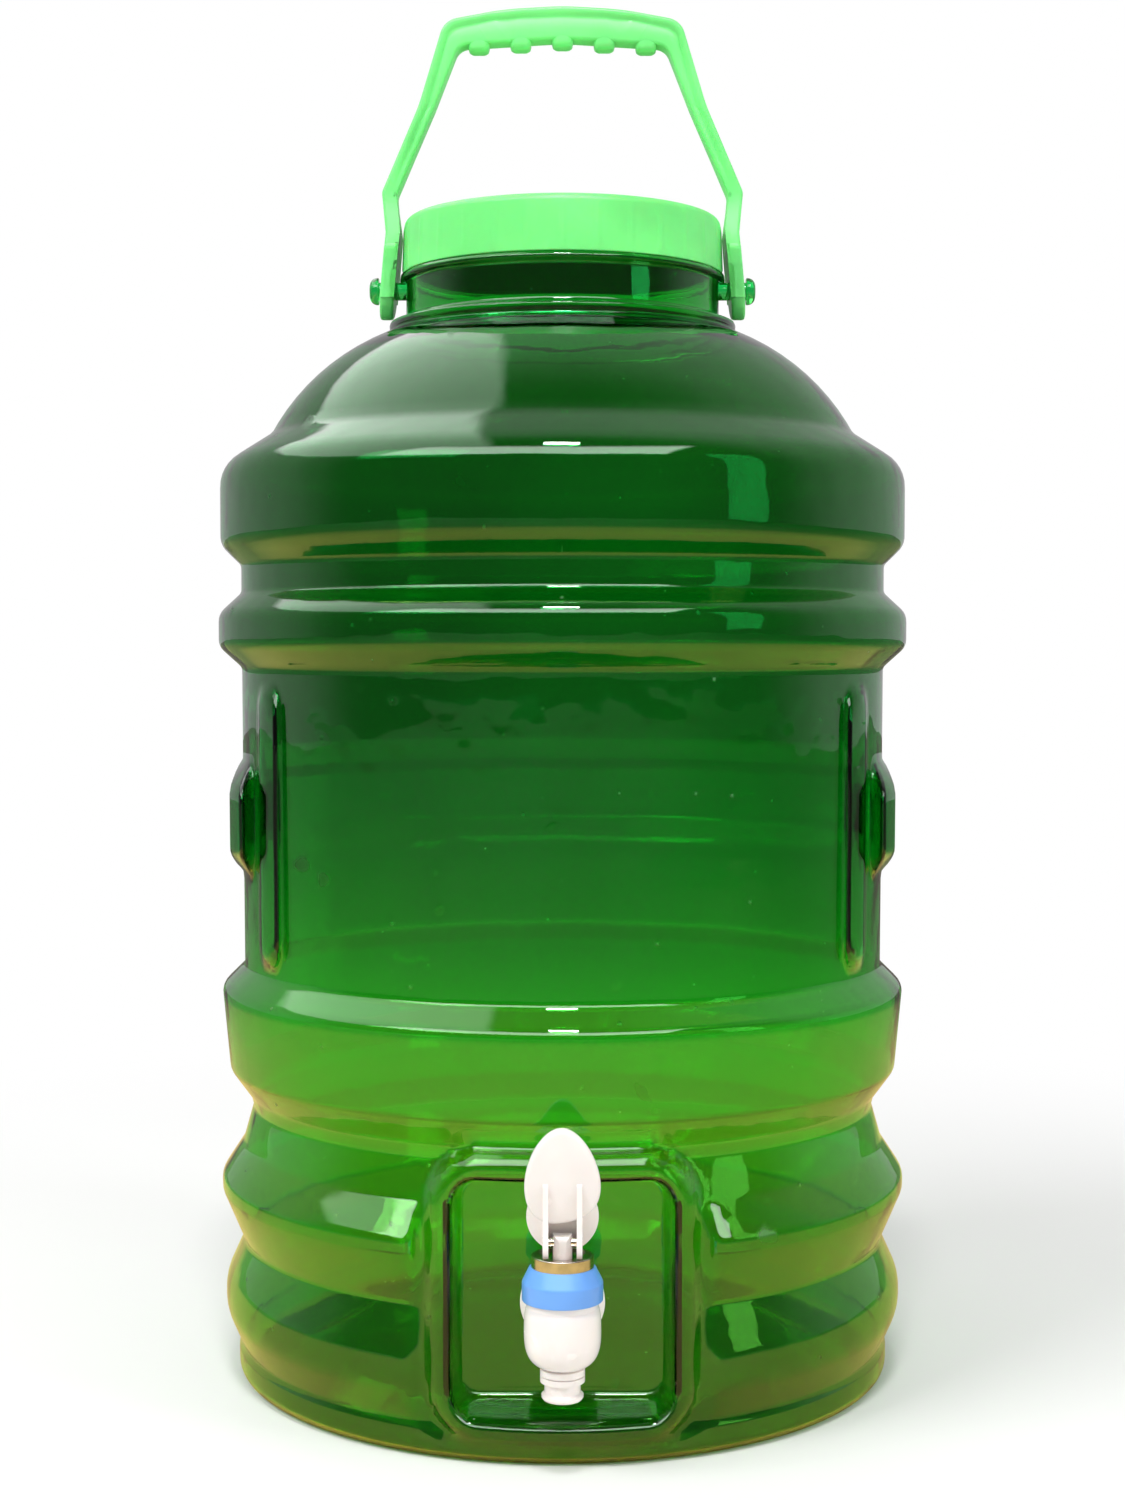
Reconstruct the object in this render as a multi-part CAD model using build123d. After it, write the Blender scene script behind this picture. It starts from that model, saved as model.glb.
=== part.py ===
from build123d import *

import math
import os
from dataclasses import dataclass

# A twenty-litre drinking-water jar of clear green plastic, blow moulded in one piece, with a wide
# screw lid, a carrying handle that swings on two moulded studs, and a dispensing tap in a recess
# at the foot of the front. Millimetres. The jar's axis is Z, it stands on z = 0, and the front,
# where the tap is, looks towards -Y.


# Jar shell: the barrel, and how far its walls lie outside or inside it
WALL = 1.4
BARREL_RADIUS = 127.1
FOOT_PROUD = 2.5
FOOT_RADIUS = BARREL_RADIUS + FOOT_PROUD
FOOT_TOP = 10.6
HEEL_ROUND = 5.0
FOOT_EDGE_ROUND = 0.4
NOTCH_DEPTH = 1.2
NOTCH_RADIUS = FOOT_RADIUS - NOTCH_DEPTH
NOTCH_ROUND = 1.0
LOW_VALLEY_PROUD = 0.2
LOW_VALLEY_RADIUS = BARREL_RADIUS + LOW_VALLEY_PROUD
LOW_VALLEY_ROUND = 1.2
WAIST_TOP_PROUD = 0.4
WAIST_TOP_RADIUS = BARREL_RADIUS + WAIST_TOP_PROUD
WAIST_DEPTH = 3.7
WAIST_RADIUS = BARREL_RADIUS - WAIST_DEPTH
WAIST_HEIGHT = 106.0
WAIST_FLARE = 1.2
PANEL_DEPTH = 0.5
PANEL_RADIUS = BARREL_RADIUS - PANEL_DEPTH
HIGH_VALLEY_PROUD = 0.1
HIGH_VALLEY_RADIUS = BARREL_RADIUS + HIGH_VALLEY_PROUD
VALLEY_ROUND = 3.0

# Jar underside: a flat standing ring round a shallow push-up
PUSH_UP_HEIGHT = 6.0
STANDING_RING_WIDTH = 23.6
STANDING_RING_INNER = FOOT_RADIUS - STANDING_RING_WIDTH
PUSH_UP_SLOPE = 14.0
PUSH_UP_RADIUS = STANDING_RING_INNER - PUSH_UP_SLOPE
UNDERSIDE_ROUND = 6.0


@dataclass
class Ring:
    """A moulded ring: the heights where its flanks leave the wall and where its crest begins and
    ends, how far the crest stands out of the barrel, and the crest's lower and upper rounding."""

    low: float
    crest_low: float
    crest_high: float
    high: float
    proud: float
    low_round: float
    high_round: float

    @property
    def radius(self):
        return BARREL_RADIUS + self.proud


# Jar rings, from the foot up
RING_FOOT = Ring(12.8, 27.0, 37.5, 53.6, 7.5, 20.0, 20.0)
RING_LOW = Ring(53.6, 74.0, 78.8, 91.5, 8.8, 5.5, 5.5)
RING_WIDE = Ring(110.5, 121.4, 153.2, 161.8, 8.3, 5.0, 5.0)
RING_MIDDLE = Ring(198.6, 208.6, 232.4, 242.4, 8.3, 5.0, 5.0)
RING_UPPER = Ring(278.6, 286.8, 299.6, 307.8, 9.0, 6.0, 7.0)
RING_TOP = Ring(318.6, 326.4, 356.8, 369.6, 8.1, 8.0, 14.0)
WIDE_SHOULDER_PROUD = 5.4
RING_ROOT = 6.0

# Jar shoulder and neck
CREASE_IN = 11.9
CREASE_RADIUS = BARREL_RADIUS - CREASE_IN
DOME_RADIUS = 86.5
DOME_RISE = 39.8
DOME_TOP = RING_TOP.high + DOME_RISE
MOUTH_RADIUS = 59.4
FINISH_WALL = 1.0
FINISH_RADIUS = MOUTH_RADIUS + FINISH_WALL
NECK_WALL = 2.6
NECK_RADIUS = MOUTH_RADIUS + NECK_WALL
NECK_LENGTH = 21.0
NECK_FLANGE_PROUD = 2.4
NECK_FLANGE_THICKNESS = 2.4
NECK_FLANGE_RADIUS = NECK_RADIUS + NECK_FLANGE_PROUD
NECK_FLANGE_LOW = DOME_TOP + NECK_LENGTH
NECK_FLANGE_HIGH = NECK_FLANGE_LOW + NECK_FLANGE_THICKNESS
NECK_BEAD_PROUD = 6.6
NECK_BEAD_RISE = 2.0
NECK_BEAD_HEIGHT = 2.6
NECK_BEAD_RADIUS = NECK_RADIUS + NECK_BEAD_PROUD
NECK_BEAD_LOW = DOME_TOP + NECK_BEAD_RISE
NECK_BEAD_HIGH = NECK_BEAD_LOW + NECK_BEAD_HEIGHT
DOME_LIP = 2.0
DOME_TOP_RADIUS = NECK_BEAD_RADIUS + DOME_LIP
FINISH_HEIGHT = 19.2
MOUTH_TOP = NECK_FLANGE_HIGH + FINISH_HEIGHT
NECK_EDGE_ROUND = 0.6
NECK_FOOT_RISE = 1.2
NECK_FOOT_ROUND = 2.0
NECK_ROOT = 3.0
FINISH_ROUND = 0.5
BORE_START = 12.0

# Jar studs that carry the handle
STUD_DROP = 2.7
STUD_HEIGHT = NECK_FLANGE_LOW - STUD_DROP
STUD_RADIUS = 3.5
STUD_LENGTH = 10.9
STUD_HEAD_RADIUS = 5.3
STUD_HEAD_THICKNESS = 3.7
STUD_HEAD_IN = NECK_RADIUS + STUD_LENGTH
STUD_HEAD_OUT = STUD_HEAD_IN + STUD_HEAD_THICKNESS
STUD_HEAD_ROUND = 2.6

# Upright ribs that frame the label panel, and the broken middle ring
RIB_AZIMUTH = 60.0
RIB_WIDTH = 25.0
RIB_LOW = 163.6
RIB_HIGH = 274.0
RIB_PROUD = 2.6
RIB_RADIUS = BARREL_RADIUS + RIB_PROUD
RIB_ROUND = 2.2
RIB_ROOT = 8.0
MIDDLE_RING_GAP = 71.0

# Recess for the tap, the frame round it, and the two lowest rings' ends beside the frame
RECESS_WIDTH = 73.0
RECESS_LOW = 19.0
RECESS_HIGH = 98.0
RECESS_CORNER = 7.0
RECESS_DRAFT = 8.0
RECESS_DEPTH = 23.4
FRAME_SIDE = 12.5
FRAME_BAND = 14.0
FRAME_WIDTH = RECESS_WIDTH + 2 * FRAME_SIDE
FRAME_LOW = RECESS_LOW - FRAME_BAND
FRAME_HIGH = RECESS_HIGH + FRAME_BAND
FRAME_PROUD = 6.3
FRAME_RADIUS = BARREL_RADIUS + FRAME_PROUD
FRAME_CORNER = 24.0
FRAME_ROUND = 7.0
FRAME_ROOT = 8.0
RECESS_FACE = FRAME_RADIUS - RECESS_DEPTH
RING_END_GAP = 5.0
RING_END_WIDTH = FRAME_WIDTH + 2 * RING_END_GAP
RING_END_LOW = 11.0
RING_END_HIGH = 92.5
RING_END_CORNER = 12.0

# Lid and its liner
LINER_THICKNESS = 1.2
LINER_OVERLAP = 0.8
LINER_RADIUS = MOUTH_RADIUS + LINER_OVERLAP
LID_GAP = 0.6
LID_BOTTOM = NECK_FLANGE_HIGH + LID_GAP
LID_PLATE = 1.8
LID_TOP = MOUTH_TOP + LINER_THICKNESS + LID_PLATE
LID_WALL = 1.5
LID_THREAD_SPACE = 1.4
LID_BOTTOM_RADIUS = FINISH_RADIUS + LID_THREAD_SPACE + LID_WALL
LID_TAPER = 0.8
LID_TOP_RADIUS = LID_BOTTOM_RADIUS - LID_TAPER
LID_EDGE_ROUND = 3.0
LID_RIB_COUNT = 30
LID_RIB_WIDTH = 1.3
LID_RIB_PROUD = 0.35
LID_RIB_ROOT = 0.2
LID_RIB_ROUND = 0.3
LID_RIB_MARGIN = 0.5
LID_CORNER_EXTRA = 0.2
LID_PANEL_MARGIN = 12.5
LID_PANEL_RADIUS = LID_TOP_RADIUS - LID_PANEL_MARGIN
LID_PANEL_DEPTH = 0.8
LID_PANEL_SLOPE = 1.0

# Handle, drawn in the X-Z plane: heights above the studs, and widths from the studs' heads
HANDLE_DEPTH = 12.0
HANDLE_WEB_DEPTH = 9.8
HANDLE_RIM = 3.4
HANDLE_RISE = 110.8
HANDLE_TOP = STUD_HEIGHT + HANDLE_RISE
HANDLE_ARCH = 5.6
ARCH_MIDDLE = 0.24
GRIP_SAG = 0.45
GRIP_HEIGHT = 12.6
ARM_HEAD_GAP = 0.4
ARM_END_X = STUD_HEAD_IN - ARM_HEAD_GAP
ARM_END_WIDTH = 5.3
ARM_END_OVER = 1.0
ARM_WIDTH = 6.2
PINCH_IN = 2.9
PINCH_RISE = 21.9
PINCH_ROUND = 8.0
PINCH_X = ARM_END_X - PINCH_IN
PINCH_Z = STUD_HEIGHT + PINCH_RISE
KINK_OUT = 1.7
KINK_RISE = 16.4
KINK_ROUND = 5.0
KINK_X = PINCH_X + KINK_OUT
KINK_Z = PINCH_Z + KINK_RISE
ARM_BOW_IN = 14.7
ARM_BOW_RISE = 34.0
ARM_BOW_ROUND = 70.0
ARM_BOW_X = KINK_X - ARM_BOW_IN
ARM_BOW_Z = KINK_Z + ARM_BOW_RISE
CORNER_IN = 10.0
HANDLE_CORNER_X = ARM_BOW_X - CORNER_IN
HANDLE_CORNER_ROUND = 8.0
INNER_CORNER_ROUND = 6.0
CORNER_WIDTH = 5.8
KINK_WIDTH = 5.9
KINK_DROP = 1.2
BOW_DROP = 1.0
GRIP_ROUND = 120.0
GRIP_INNER_ROUND = 150.0
EYE_RADIUS = 11.2
EYE_CLEARANCE = 0.08
EYE_TAPER_LOW = 9.0
EYE_TAPER_TOP = 41.3
KEYHOLE_RISE = 8.6
KEYHOLE_CLEARANCE = 0.5
KEYHOLE_SLOT = 6.4
WEB_RISE = 46.3
BUMP_COUNT = 5
BUMP_PITCH = 16.5
BUMP_WIDTH = 8.0
BUMP_DROP = 2.6
BUMP_STEP = 0.3
BUMP_ROOT = 3.0
BUMP_ROUND = 1.6

# Tap: a vertical barrel on a level shank
TAP_PROUD = 6.6
TAP_Y = -(FRAME_RADIUS + TAP_PROUD)
SHANK_RISE = 35.5
SHANK_HEIGHT = RECESS_LOW + SHANK_RISE
SHANK_RADIUS = 8.0
SHANK_WALL = 3.0
SHANK_BORE = SHANK_RADIUS - SHANK_WALL
SHANK_REACH = 22.0
SHANK_END_Y = -(RECESS_FACE - SHANK_REACH)
SHANK_HOLE_CLEARANCE = 0.5
TAP_NECK_RADIUS = 7.4
TAP_FLANGE_RADIUS = 15.1
TAP_FLANGE_THICKNESS = 3.0
SPOUT_DROP = 26.5
SPOUT_LOW = SHANK_HEIGHT - SPOUT_DROP
SPOUT_BORE = 4.25
SPOUT_WALL = 2.0
SPOUT_RADIUS = SPOUT_BORE + SPOUT_WALL
LIP_PROUD = 1.0
LIP_RADIUS = SPOUT_RADIUS + LIP_PROUD
LIP_HEIGHT = 2.6
LIP_BEVEL = 0.8
LIP_BEVEL_IN = 0.6
SPOUT_RING_RISE = 6.0
SPOUT_RING_LOW = SPOUT_LOW + SPOUT_RING_RISE
SPOUT_RING_PROUD = 1.5
SPOUT_RING_RADIUS = SPOUT_RADIUS + SPOUT_RING_PROUD
SPOUT_RING_HEIGHT = 2.2
SPOUT_RING_GAP = 0.5
SPOUT_RING_BEVEL = 0.3
SPOUT_GROOVE_PROUD = 0.8
SPOUT_GROOVE_FLARE = 0.1
BULB_FOOT_STEP = 0.4
BULB_RISE = 11.2
BULB_LOW = SPOUT_LOW + BULB_RISE
BULB_BASE_PROUD = 0.35
BULB_BASE_RADIUS = SPOUT_RADIUS + BULB_BASE_PROUD
BULB_BASE_WAY = (1, 0.25)
BULB_TOP_WAY = (-0.35, 1)
BULB_MIDDLE_DROP = 1.0
BULB_MIDDLE = SHANK_HEIGHT - BULB_MIDDLE_DROP
BULB_TOP_RISE = 5.9
BULB_TOP = SHANK_HEIGHT + BULB_TOP_RISE
BAND_HEIGHT = 2.2
TAP_BAND_TOP = BULB_TOP + BAND_HEIGHT
TAP_THREAD_HEIGHT = 7.6
TAP_THREAD_TOP = TAP_BAND_TOP + TAP_THREAD_HEIGHT
CHAMBER_RADIUS = 9.4
CHAMBER_WALL = 2.4
TAP_THREAD_RADIUS = CHAMBER_RADIUS + CHAMBER_WALL
BAND_PROUD = 0.7
BULB_TOP_RADIUS = TAP_THREAD_RADIUS + BAND_PROUD
BULB_PROUD = 0.8
BULB_RADIUS = BULB_TOP_RADIUS + BULB_PROUD
SEAT_DROP = 9.9
SEAT_HEIGHT = SHANK_HEIGHT - SEAT_DROP

# Tap collar, steel cap and seals
STEM_SEAL_THICKNESS = 1.2
STEM_SEAL_LIP = 1.4
STEM_SEAL_DROP = 1.0
COLLAR_THREAD_CLEARANCE = 0.12
COLLAR_WALL = 2.08
COLLAR_RADIUS = TAP_THREAD_RADIUS + COLLAR_THREAD_CLEARANCE + COLLAR_WALL
COLLAR_SLOPE = 2.6
COLLAR_TOP_RADIUS = COLLAR_RADIUS - COLLAR_SLOPE
COLLAR_SKIRT = 6.4
COLLAR_SHOULDER = TAP_BAND_TOP + COLLAR_SKIRT
COLLAR_PLATE = 2.8
COLLAR_TOP = TAP_THREAD_TOP + STEM_SEAL_THICKNESS + COLLAR_PLATE
COLLAR_ROUND = 2.0
COLLAR_TOP_ROUND = 0.8
COLLAR_FOOT_ROUND = 0.4
STEM_HOLE_CLEARANCE = 0.45
CAP_MARGIN = 0.6
CAP_RADIUS = COLLAR_TOP_RADIUS - CAP_MARGIN
CAP_HEIGHT = 4.0
CAP_WALL = 0.9
CAP_FLOOR_DROP = 1.0
CAP_EDGE_ROUND = 0.35
GASKET_THICKNESS = 2.0
GASKET_MARGIN = 1.5
GASKET_RADIUS = TAP_FLANGE_RADIUS - GASKET_MARGIN
GASKET_CLEARANCE = 0.15
NUT_THICKNESS = 8.0
NUT_WALL = 5.0
NUT_FLATS = 2 * (SHANK_RADIUS + NUT_WALL)
NUT_CLEARANCE = 0.1

# Tap stem, spring and lever
STEM_RADIUS = 3.4
STEM_FOOT_STEP = 0.9
STEM_FOOT_RADIUS = STEM_RADIUS - STEM_FOOT_STEP
STEM_SEAL_CLEARANCE = 0.08
STEM_TONGUE_WIDTH = 2 * STEM_RADIUS
STEM_EYE_STEP = 0.2
STEM_EYE_RADIUS = STEM_RADIUS - STEM_EYE_STEP
SPRING_WIRE = 0.9
SPRING_ROOM = 2.0
SPRING_RADIUS = STEM_RADIUS + SPRING_ROOM
SPRING_TURNS = 5
SPRING_GAP = 0.12
STEM_PLATE = 1.4
STEM_PLATE_MARGIN = 0.75
STEM_PLATE_RADIUS = SPRING_RADIUS + SPRING_WIRE / 2 + STEM_PLATE_MARGIN
STEM_PLATE_ROUND = 0.4
PLUG_OVERLAP = 2.55
PLUG_RADIUS = SPOUT_BORE + PLUG_OVERLAP
PLUG_HEIGHT = 5.0
PLUG_SOCKET = 3.0
PLUG_BEVEL = 1.2
PLUG_BEVEL_HEIGHT = 1.5
PLUG_ROUND = 0.6
PLUG_CLEARANCE = 0.1
PIN_RISE = 4.3
PIN_HEIGHT = COLLAR_TOP + CAP_HEIGHT + PIN_RISE
PIN_RADIUS = 1.75
PIN_CLEARANCE = 0.05
PIN_PRESS_CLEARANCE = 0.01
PIN_OVERHANG = 0.15
CHEEK_THICKNESS = 1.9
CHEEK_GAP = 1.45
CAM_OFFSET = 2.8
CAM_CLEARANCE = 0.25
HUB_BACK = 1.6
HUB_RISE = 1.0
HUB_STEP = 1.0
PADDLE_RISE = 24.5
PADDLE_CENTRE_Z = PIN_HEIGHT + PADDLE_RISE
PADDLE_FORWARD = 6.5
PADDLE_CENTRE_Y = TAP_Y - PADDLE_FORWARD
PADDLE_LENGTH = 35.0
PADDLE_WIDTH = 26.0
PADDLE_WIDEST_SHARE = 0.08
PADDLE_LEAN = 14.0
PADDLE_THICKNESS = 3.6
PADDLE_ROUND = 1.4
CHEEK_NECK_RADIUS = 3.0
CHEEK_NECK_DROP = 4.0
CHEEK_NECK_BACK = 1.5
LOBE_RADIUS = 12.5
LOBE_RISE = 8.1
LOBE_CENTRE_Z = PIN_HEIGHT + LOBE_RISE
LOBE_CUT_DROP = 2.3
LOBE_CUT_Z = PIN_HEIGHT - LOBE_CUT_DROP
LOBE_BACK = 3.6
LOBE_FRONT_Y = TAP_Y + LOBE_BACK
LOBE_THICKNESS = 2.0
LOBE_JOIN_RISE = 5.0
LOBE_JOIN_RADIUS = 1.2
LOBE_JOIN_BACK = 0.5

# Cutting bodies: their size where it only has to be large, and how far they reach past a face
BIG = 400.0
PAST = 5.0


def upright(x=0.0, y=0.0, z=0.0):
    """A plane whose normal looks to the front, with its own x along X and its own y along Z."""
    return Plane(origin=(x, y, z), x_dir=(1, 0, 0), z_dir=(0, -1, 0))


def turned(points, about_y=0.0):
    """A solid of revolution about the vertical line at y, from (radius, height) corners."""
    corners = [p[:2] for p in points]
    face = make_face(Plane.XZ * Polyline(*corners, close=True))
    rounded = face
    for radius, height, size in [p for p in points if len(p) == 3]:
        spot = Vector(radius, 0, height)
        near = rounded.vertices().sort_by_distance(spot)[0]
        rounded = fillet(near, size)
    return Pos(0, about_y, 0) * revolve(rounded, Axis.Z)


def ring_x(outer, inner, x_low, x_high, y, z):
    """A tube along X between two stations."""
    length = x_high - x_low
    body = Cylinder(outer, length) - (Cylinder(inner, length) if inner else Part())
    return Pos((x_low + x_high) / 2, y, z) * Rot(0, 90, 0) * body


def ring_y(outer, inner, y_low, y_high, z):
    """A tube along Y between two stations."""
    length = y_high - y_low
    body = Cylinder(outer, length) - (Cylinder(inner, length) if inner else Part())
    return Pos(0, (y_low + y_high) / 2, z) * Rot(90, 0, 0) * body


# Jar


def wall_corners():
    """Corners of the outer wall from the middle of the underside up to the shoulder crease."""
    foot, low, wide, upper, top = RING_FOOT, RING_LOW, RING_WIDE, RING_UPPER, RING_TOP
    return [
        (PUSH_UP_RADIUS, PUSH_UP_HEIGHT, UNDERSIDE_ROUND),
        (STANDING_RING_INNER, 0, UNDERSIDE_ROUND),
        (FOOT_RADIUS, 0, HEEL_ROUND),
        (FOOT_RADIUS, FOOT_TOP, WALL + FOOT_EDGE_ROUND),
        (NOTCH_RADIUS, foot.low, NOTCH_ROUND),
        (foot.radius, foot.crest_low, foot.low_round),
        (foot.radius, foot.crest_high, foot.high_round),
        (LOW_VALLEY_RADIUS, foot.high, LOW_VALLEY_ROUND),
        (low.radius, low.crest_low, low.low_round),
        (low.radius, low.crest_high, low.high_round),
        (WAIST_TOP_RADIUS, low.high, VALLEY_ROUND),
        (WAIST_RADIUS, WAIST_HEIGHT, VALLEY_ROUND),
        (WAIST_RADIUS + WAIST_FLARE, wide.low, VALLEY_ROUND),
        (BARREL_RADIUS + WIDE_SHOULDER_PROUD, wide.crest_low, wide.low_round),
        (wide.radius, wide.crest_high, wide.high_round),
        (PANEL_RADIUS, wide.high, VALLEY_ROUND),
        (BARREL_RADIUS, upper.low, VALLEY_ROUND),
        (upper.radius, upper.crest_low, upper.low_round),
        (upper.radius, upper.crest_high, upper.high_round),
        (HIGH_VALLEY_RADIUS, upper.high, VALLEY_ROUND),
        (HIGH_VALLEY_RADIUS, top.low, VALLEY_ROUND),
        (top.radius, top.crest_low, top.low_round),
        (top.radius, top.crest_high, top.high_round),
    ]


def wall_form(inset):
    """The round form of the jar up to the neck, moved inwards by the inset."""
    corners = wall_corners()
    points = [(0, PUSH_UP_HEIGHT)] + [c[:2] for c in corners] + [(CREASE_RADIUS, RING_TOP.high)]
    side = FilletPolyline(*points, radius=[c[2] for c in corners])
    dome = RadiusArc(points[-1], (DOME_TOP_RADIUS, DOME_TOP), -DOME_RADIUS)
    lid_line = Polyline((DOME_TOP_RADIUS, DOME_TOP), (0, DOME_TOP), (0, PUSH_UP_HEIGHT))
    half = make_face(side + dome + lid_line)
    if inset:
        whole = half + mirror(half, Plane.YZ)
        half = offset(whole, -inset) & Pos(BIG / 2, 0) * Rectangle(BIG, 2 * BIG + 2 * DOME_TOP)
    return revolve(Plane.XZ * half, Axis.Z)


def middle_ring(inset):
    """The ring round the sides and back, whose ends are turned about upright lines in the wall."""
    ring = RING_MIDDLE
    wall = (PANEL_RADIUS + BARREL_RADIUS) / 2
    root = wall - RING_ROOT
    section = make_face(Polyline(
        (root, ring.low), (wall, ring.low), (ring.radius, ring.crest_low),
        (ring.radius, ring.crest_high), (wall, ring.high), (root, ring.high), close=True,
    ))
    crest = section.vertices().sort_by(Axis.X)[-2:]
    section = fillet(crest, ring.low_round)
    if inset:
        section = offset(section, -inset)
    band = revolve(Plane.XZ * section, Axis.Z, 360 - 2 * MIDDLE_RING_GAP)
    form = Rot(0, 0, MIDDLE_RING_GAP - 90) * band
    half = (Pos(-wall, 0) * section) & Pos(BIG / 2, 0) * Rectangle(BIG, 2 * BIG)
    cap = revolve(Plane.XZ * half, Axis.Z)
    for side in (-1, 1):
        azimuth = side * MIDDLE_RING_GAP - 90
        form += Rot(0, 0, azimuth) * Pos(wall, 0, 0) * cap
    return form


def side_rib(side, inset):
    """One upright rib with round ends, its face a cylinder round the jar's axis."""
    azimuth = math.radians(-90 + side * RIB_AZIMUTH)
    out = Vector(math.cos(azimuth), math.sin(azimuth), 0)
    middle = (RIB_LOW + RIB_HIGH) / 2
    face = Plane(origin=(0, 0, middle), x_dir=Vector(0, 0, 1), z_dir=out)
    slot = face * SlotOverall(RIB_HIGH - RIB_LOW - 2 * inset, RIB_WIDTH - 2 * inset)
    pad = extrude(slot, RIB_RADIUS + PAST, dir=out)
    pad -= extrude(slot, PANEL_RADIUS - RIB_ROOT, dir=out)
    pad &= Pos(0, 0, middle) * Cylinder(RIB_RADIUS - inset, BIG)
    skin = pad.faces().filter_by(GeomType.CYLINDER).sort_by(
        lambda f: -math.hypot(f.center().X, f.center().Y))[0]
    return fillet(skin.edges(), RIB_ROUND - inset / 2)


def front_block(width, low, high, corner, near, far):
    """A rounded rectangle seen from the front, extruded between two distances from the axis."""
    sketch = Pos(0, (low + high) / 2) * RectangleRounded(width, high - low, corner)
    return extrude(upright(y=-near) * sketch, far - near)


def tap_frame(inset):
    """The smooth raised frame round the tap's recess."""
    block = front_block(
        FRAME_WIDTH - 2 * inset, FRAME_LOW + inset, FRAME_HIGH - inset,
        FRAME_CORNER - inset, RECESS_FACE - FRAME_ROOT, FRAME_RADIUS + PAST,
    )
    block &= Cylinder(FRAME_RADIUS - inset, 2 * BIG)
    skin = block.faces().filter_by(GeomType.CYLINDER).sort_by(Axis.Y)[0]
    return fillet(skin.edges(), FRAME_ROUND - inset)


def ring_ends(inset):
    """What is cut from the two lowest rings where they stop beside the frame."""
    block = front_block(
        RING_END_WIDTH + 2 * inset, RING_END_LOW, RING_END_HIGH,
        RING_END_CORNER, RECESS_FACE - FRAME_ROOT, RING_LOW.radius + PAST,
    )
    return block - Cylinder(LOW_VALLEY_RADIUS - inset, 2 * BIG)


def recess(inset):
    """The drafted pocket that the tap stands in."""
    width = RECESS_WIDTH + 2 * inset
    low, high = RECESS_LOW - inset, RECESS_HIGH + inset
    sketch = Pos(0, (low + high) / 2) * RectangleRounded(width, high - low, RECESS_CORNER + inset)
    floor = upright(y=-(RECESS_FACE - inset)) * sketch
    reach = max(FRAME_RADIUS, RING_LOW.radius) + PAST - RECESS_FACE
    return extrude(floor, reach, taper=-RECESS_DRAFT)


def jar_form(inset):
    """The whole closed form of the jar below the neck, moved inwards by the inset."""
    form = wall_form(inset) - ring_ends(inset)
    form += tap_frame(inset)
    form += middle_ring(inset)
    form += side_rib(-1, inset)
    form += side_rib(1, inset)
    form -= recess(inset)
    return form


def neck():
    """The solid neck: bead, wall, flange under the lid, and the lid's finish."""
    return turned([
        (0, DOME_TOP - NECK_ROOT), (DOME_TOP_RADIUS - NECK_ROOT - 1, DOME_TOP - NECK_ROOT),
        (DOME_TOP_RADIUS - NECK_ROOT, NECK_BEAD_LOW - 1),
        (NECK_BEAD_RADIUS, NECK_BEAD_LOW, NECK_EDGE_ROUND),
        (NECK_BEAD_RADIUS, NECK_BEAD_HIGH, NECK_EDGE_ROUND),
        (NECK_RADIUS, NECK_BEAD_HIGH + NECK_FOOT_RISE, NECK_FOOT_ROUND),
        (NECK_RADIUS, NECK_FLANGE_LOW),
        (NECK_FLANGE_RADIUS, NECK_FLANGE_LOW, NECK_EDGE_ROUND),
        (NECK_FLANGE_RADIUS, NECK_FLANGE_HIGH, NECK_EDGE_ROUND),
        (FINISH_RADIUS, NECK_FLANGE_HIGH),
        (FINISH_RADIUS, MOUTH_TOP, FINISH_ROUND), (0, MOUTH_TOP),
    ])


def stud(side):
    """The stud on one side of the neck, with the mushroom head that keeps the handle on."""
    root = MOUTH_RADIUS + FINISH_WALL
    shaft = ring_x(STUD_RADIUS, 0, root, (STUD_HEAD_IN + STUD_HEAD_OUT) / 2, 0, STUD_HEIGHT)
    head = ring_x(STUD_HEAD_RADIUS, 0, STUD_HEAD_IN, STUD_HEAD_OUT, 0, STUD_HEIGHT)
    head = fillet(head.edges().filter_by(GeomType.CIRCLE).sort_by(Axis.X)[-1], STUD_HEAD_ROUND)
    both = shaft + head
    return both if side > 0 else mirror(both, Plane.YZ)


def jar_body():
    """The one-piece jar: outer form less inner form, neck, studs and the hole for the tap."""
    body = jar_form(0) + neck() + stud(1) + stud(-1)
    body -= jar_form(WALL)
    low, high = DOME_TOP - BORE_START, MOUTH_TOP + PAST
    body -= Pos(0, 0, (low + high) / 2) * Cylinder(MOUTH_RADIUS, high - low)
    hole = SHANK_RADIUS + SHANK_HOLE_CLEARANCE
    body -= ring_y(hole, 0, -(RECESS_FACE + PAST), -(RECESS_FACE - WALL - PAST), SHANK_HEIGHT)
    return body


# Lid


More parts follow.
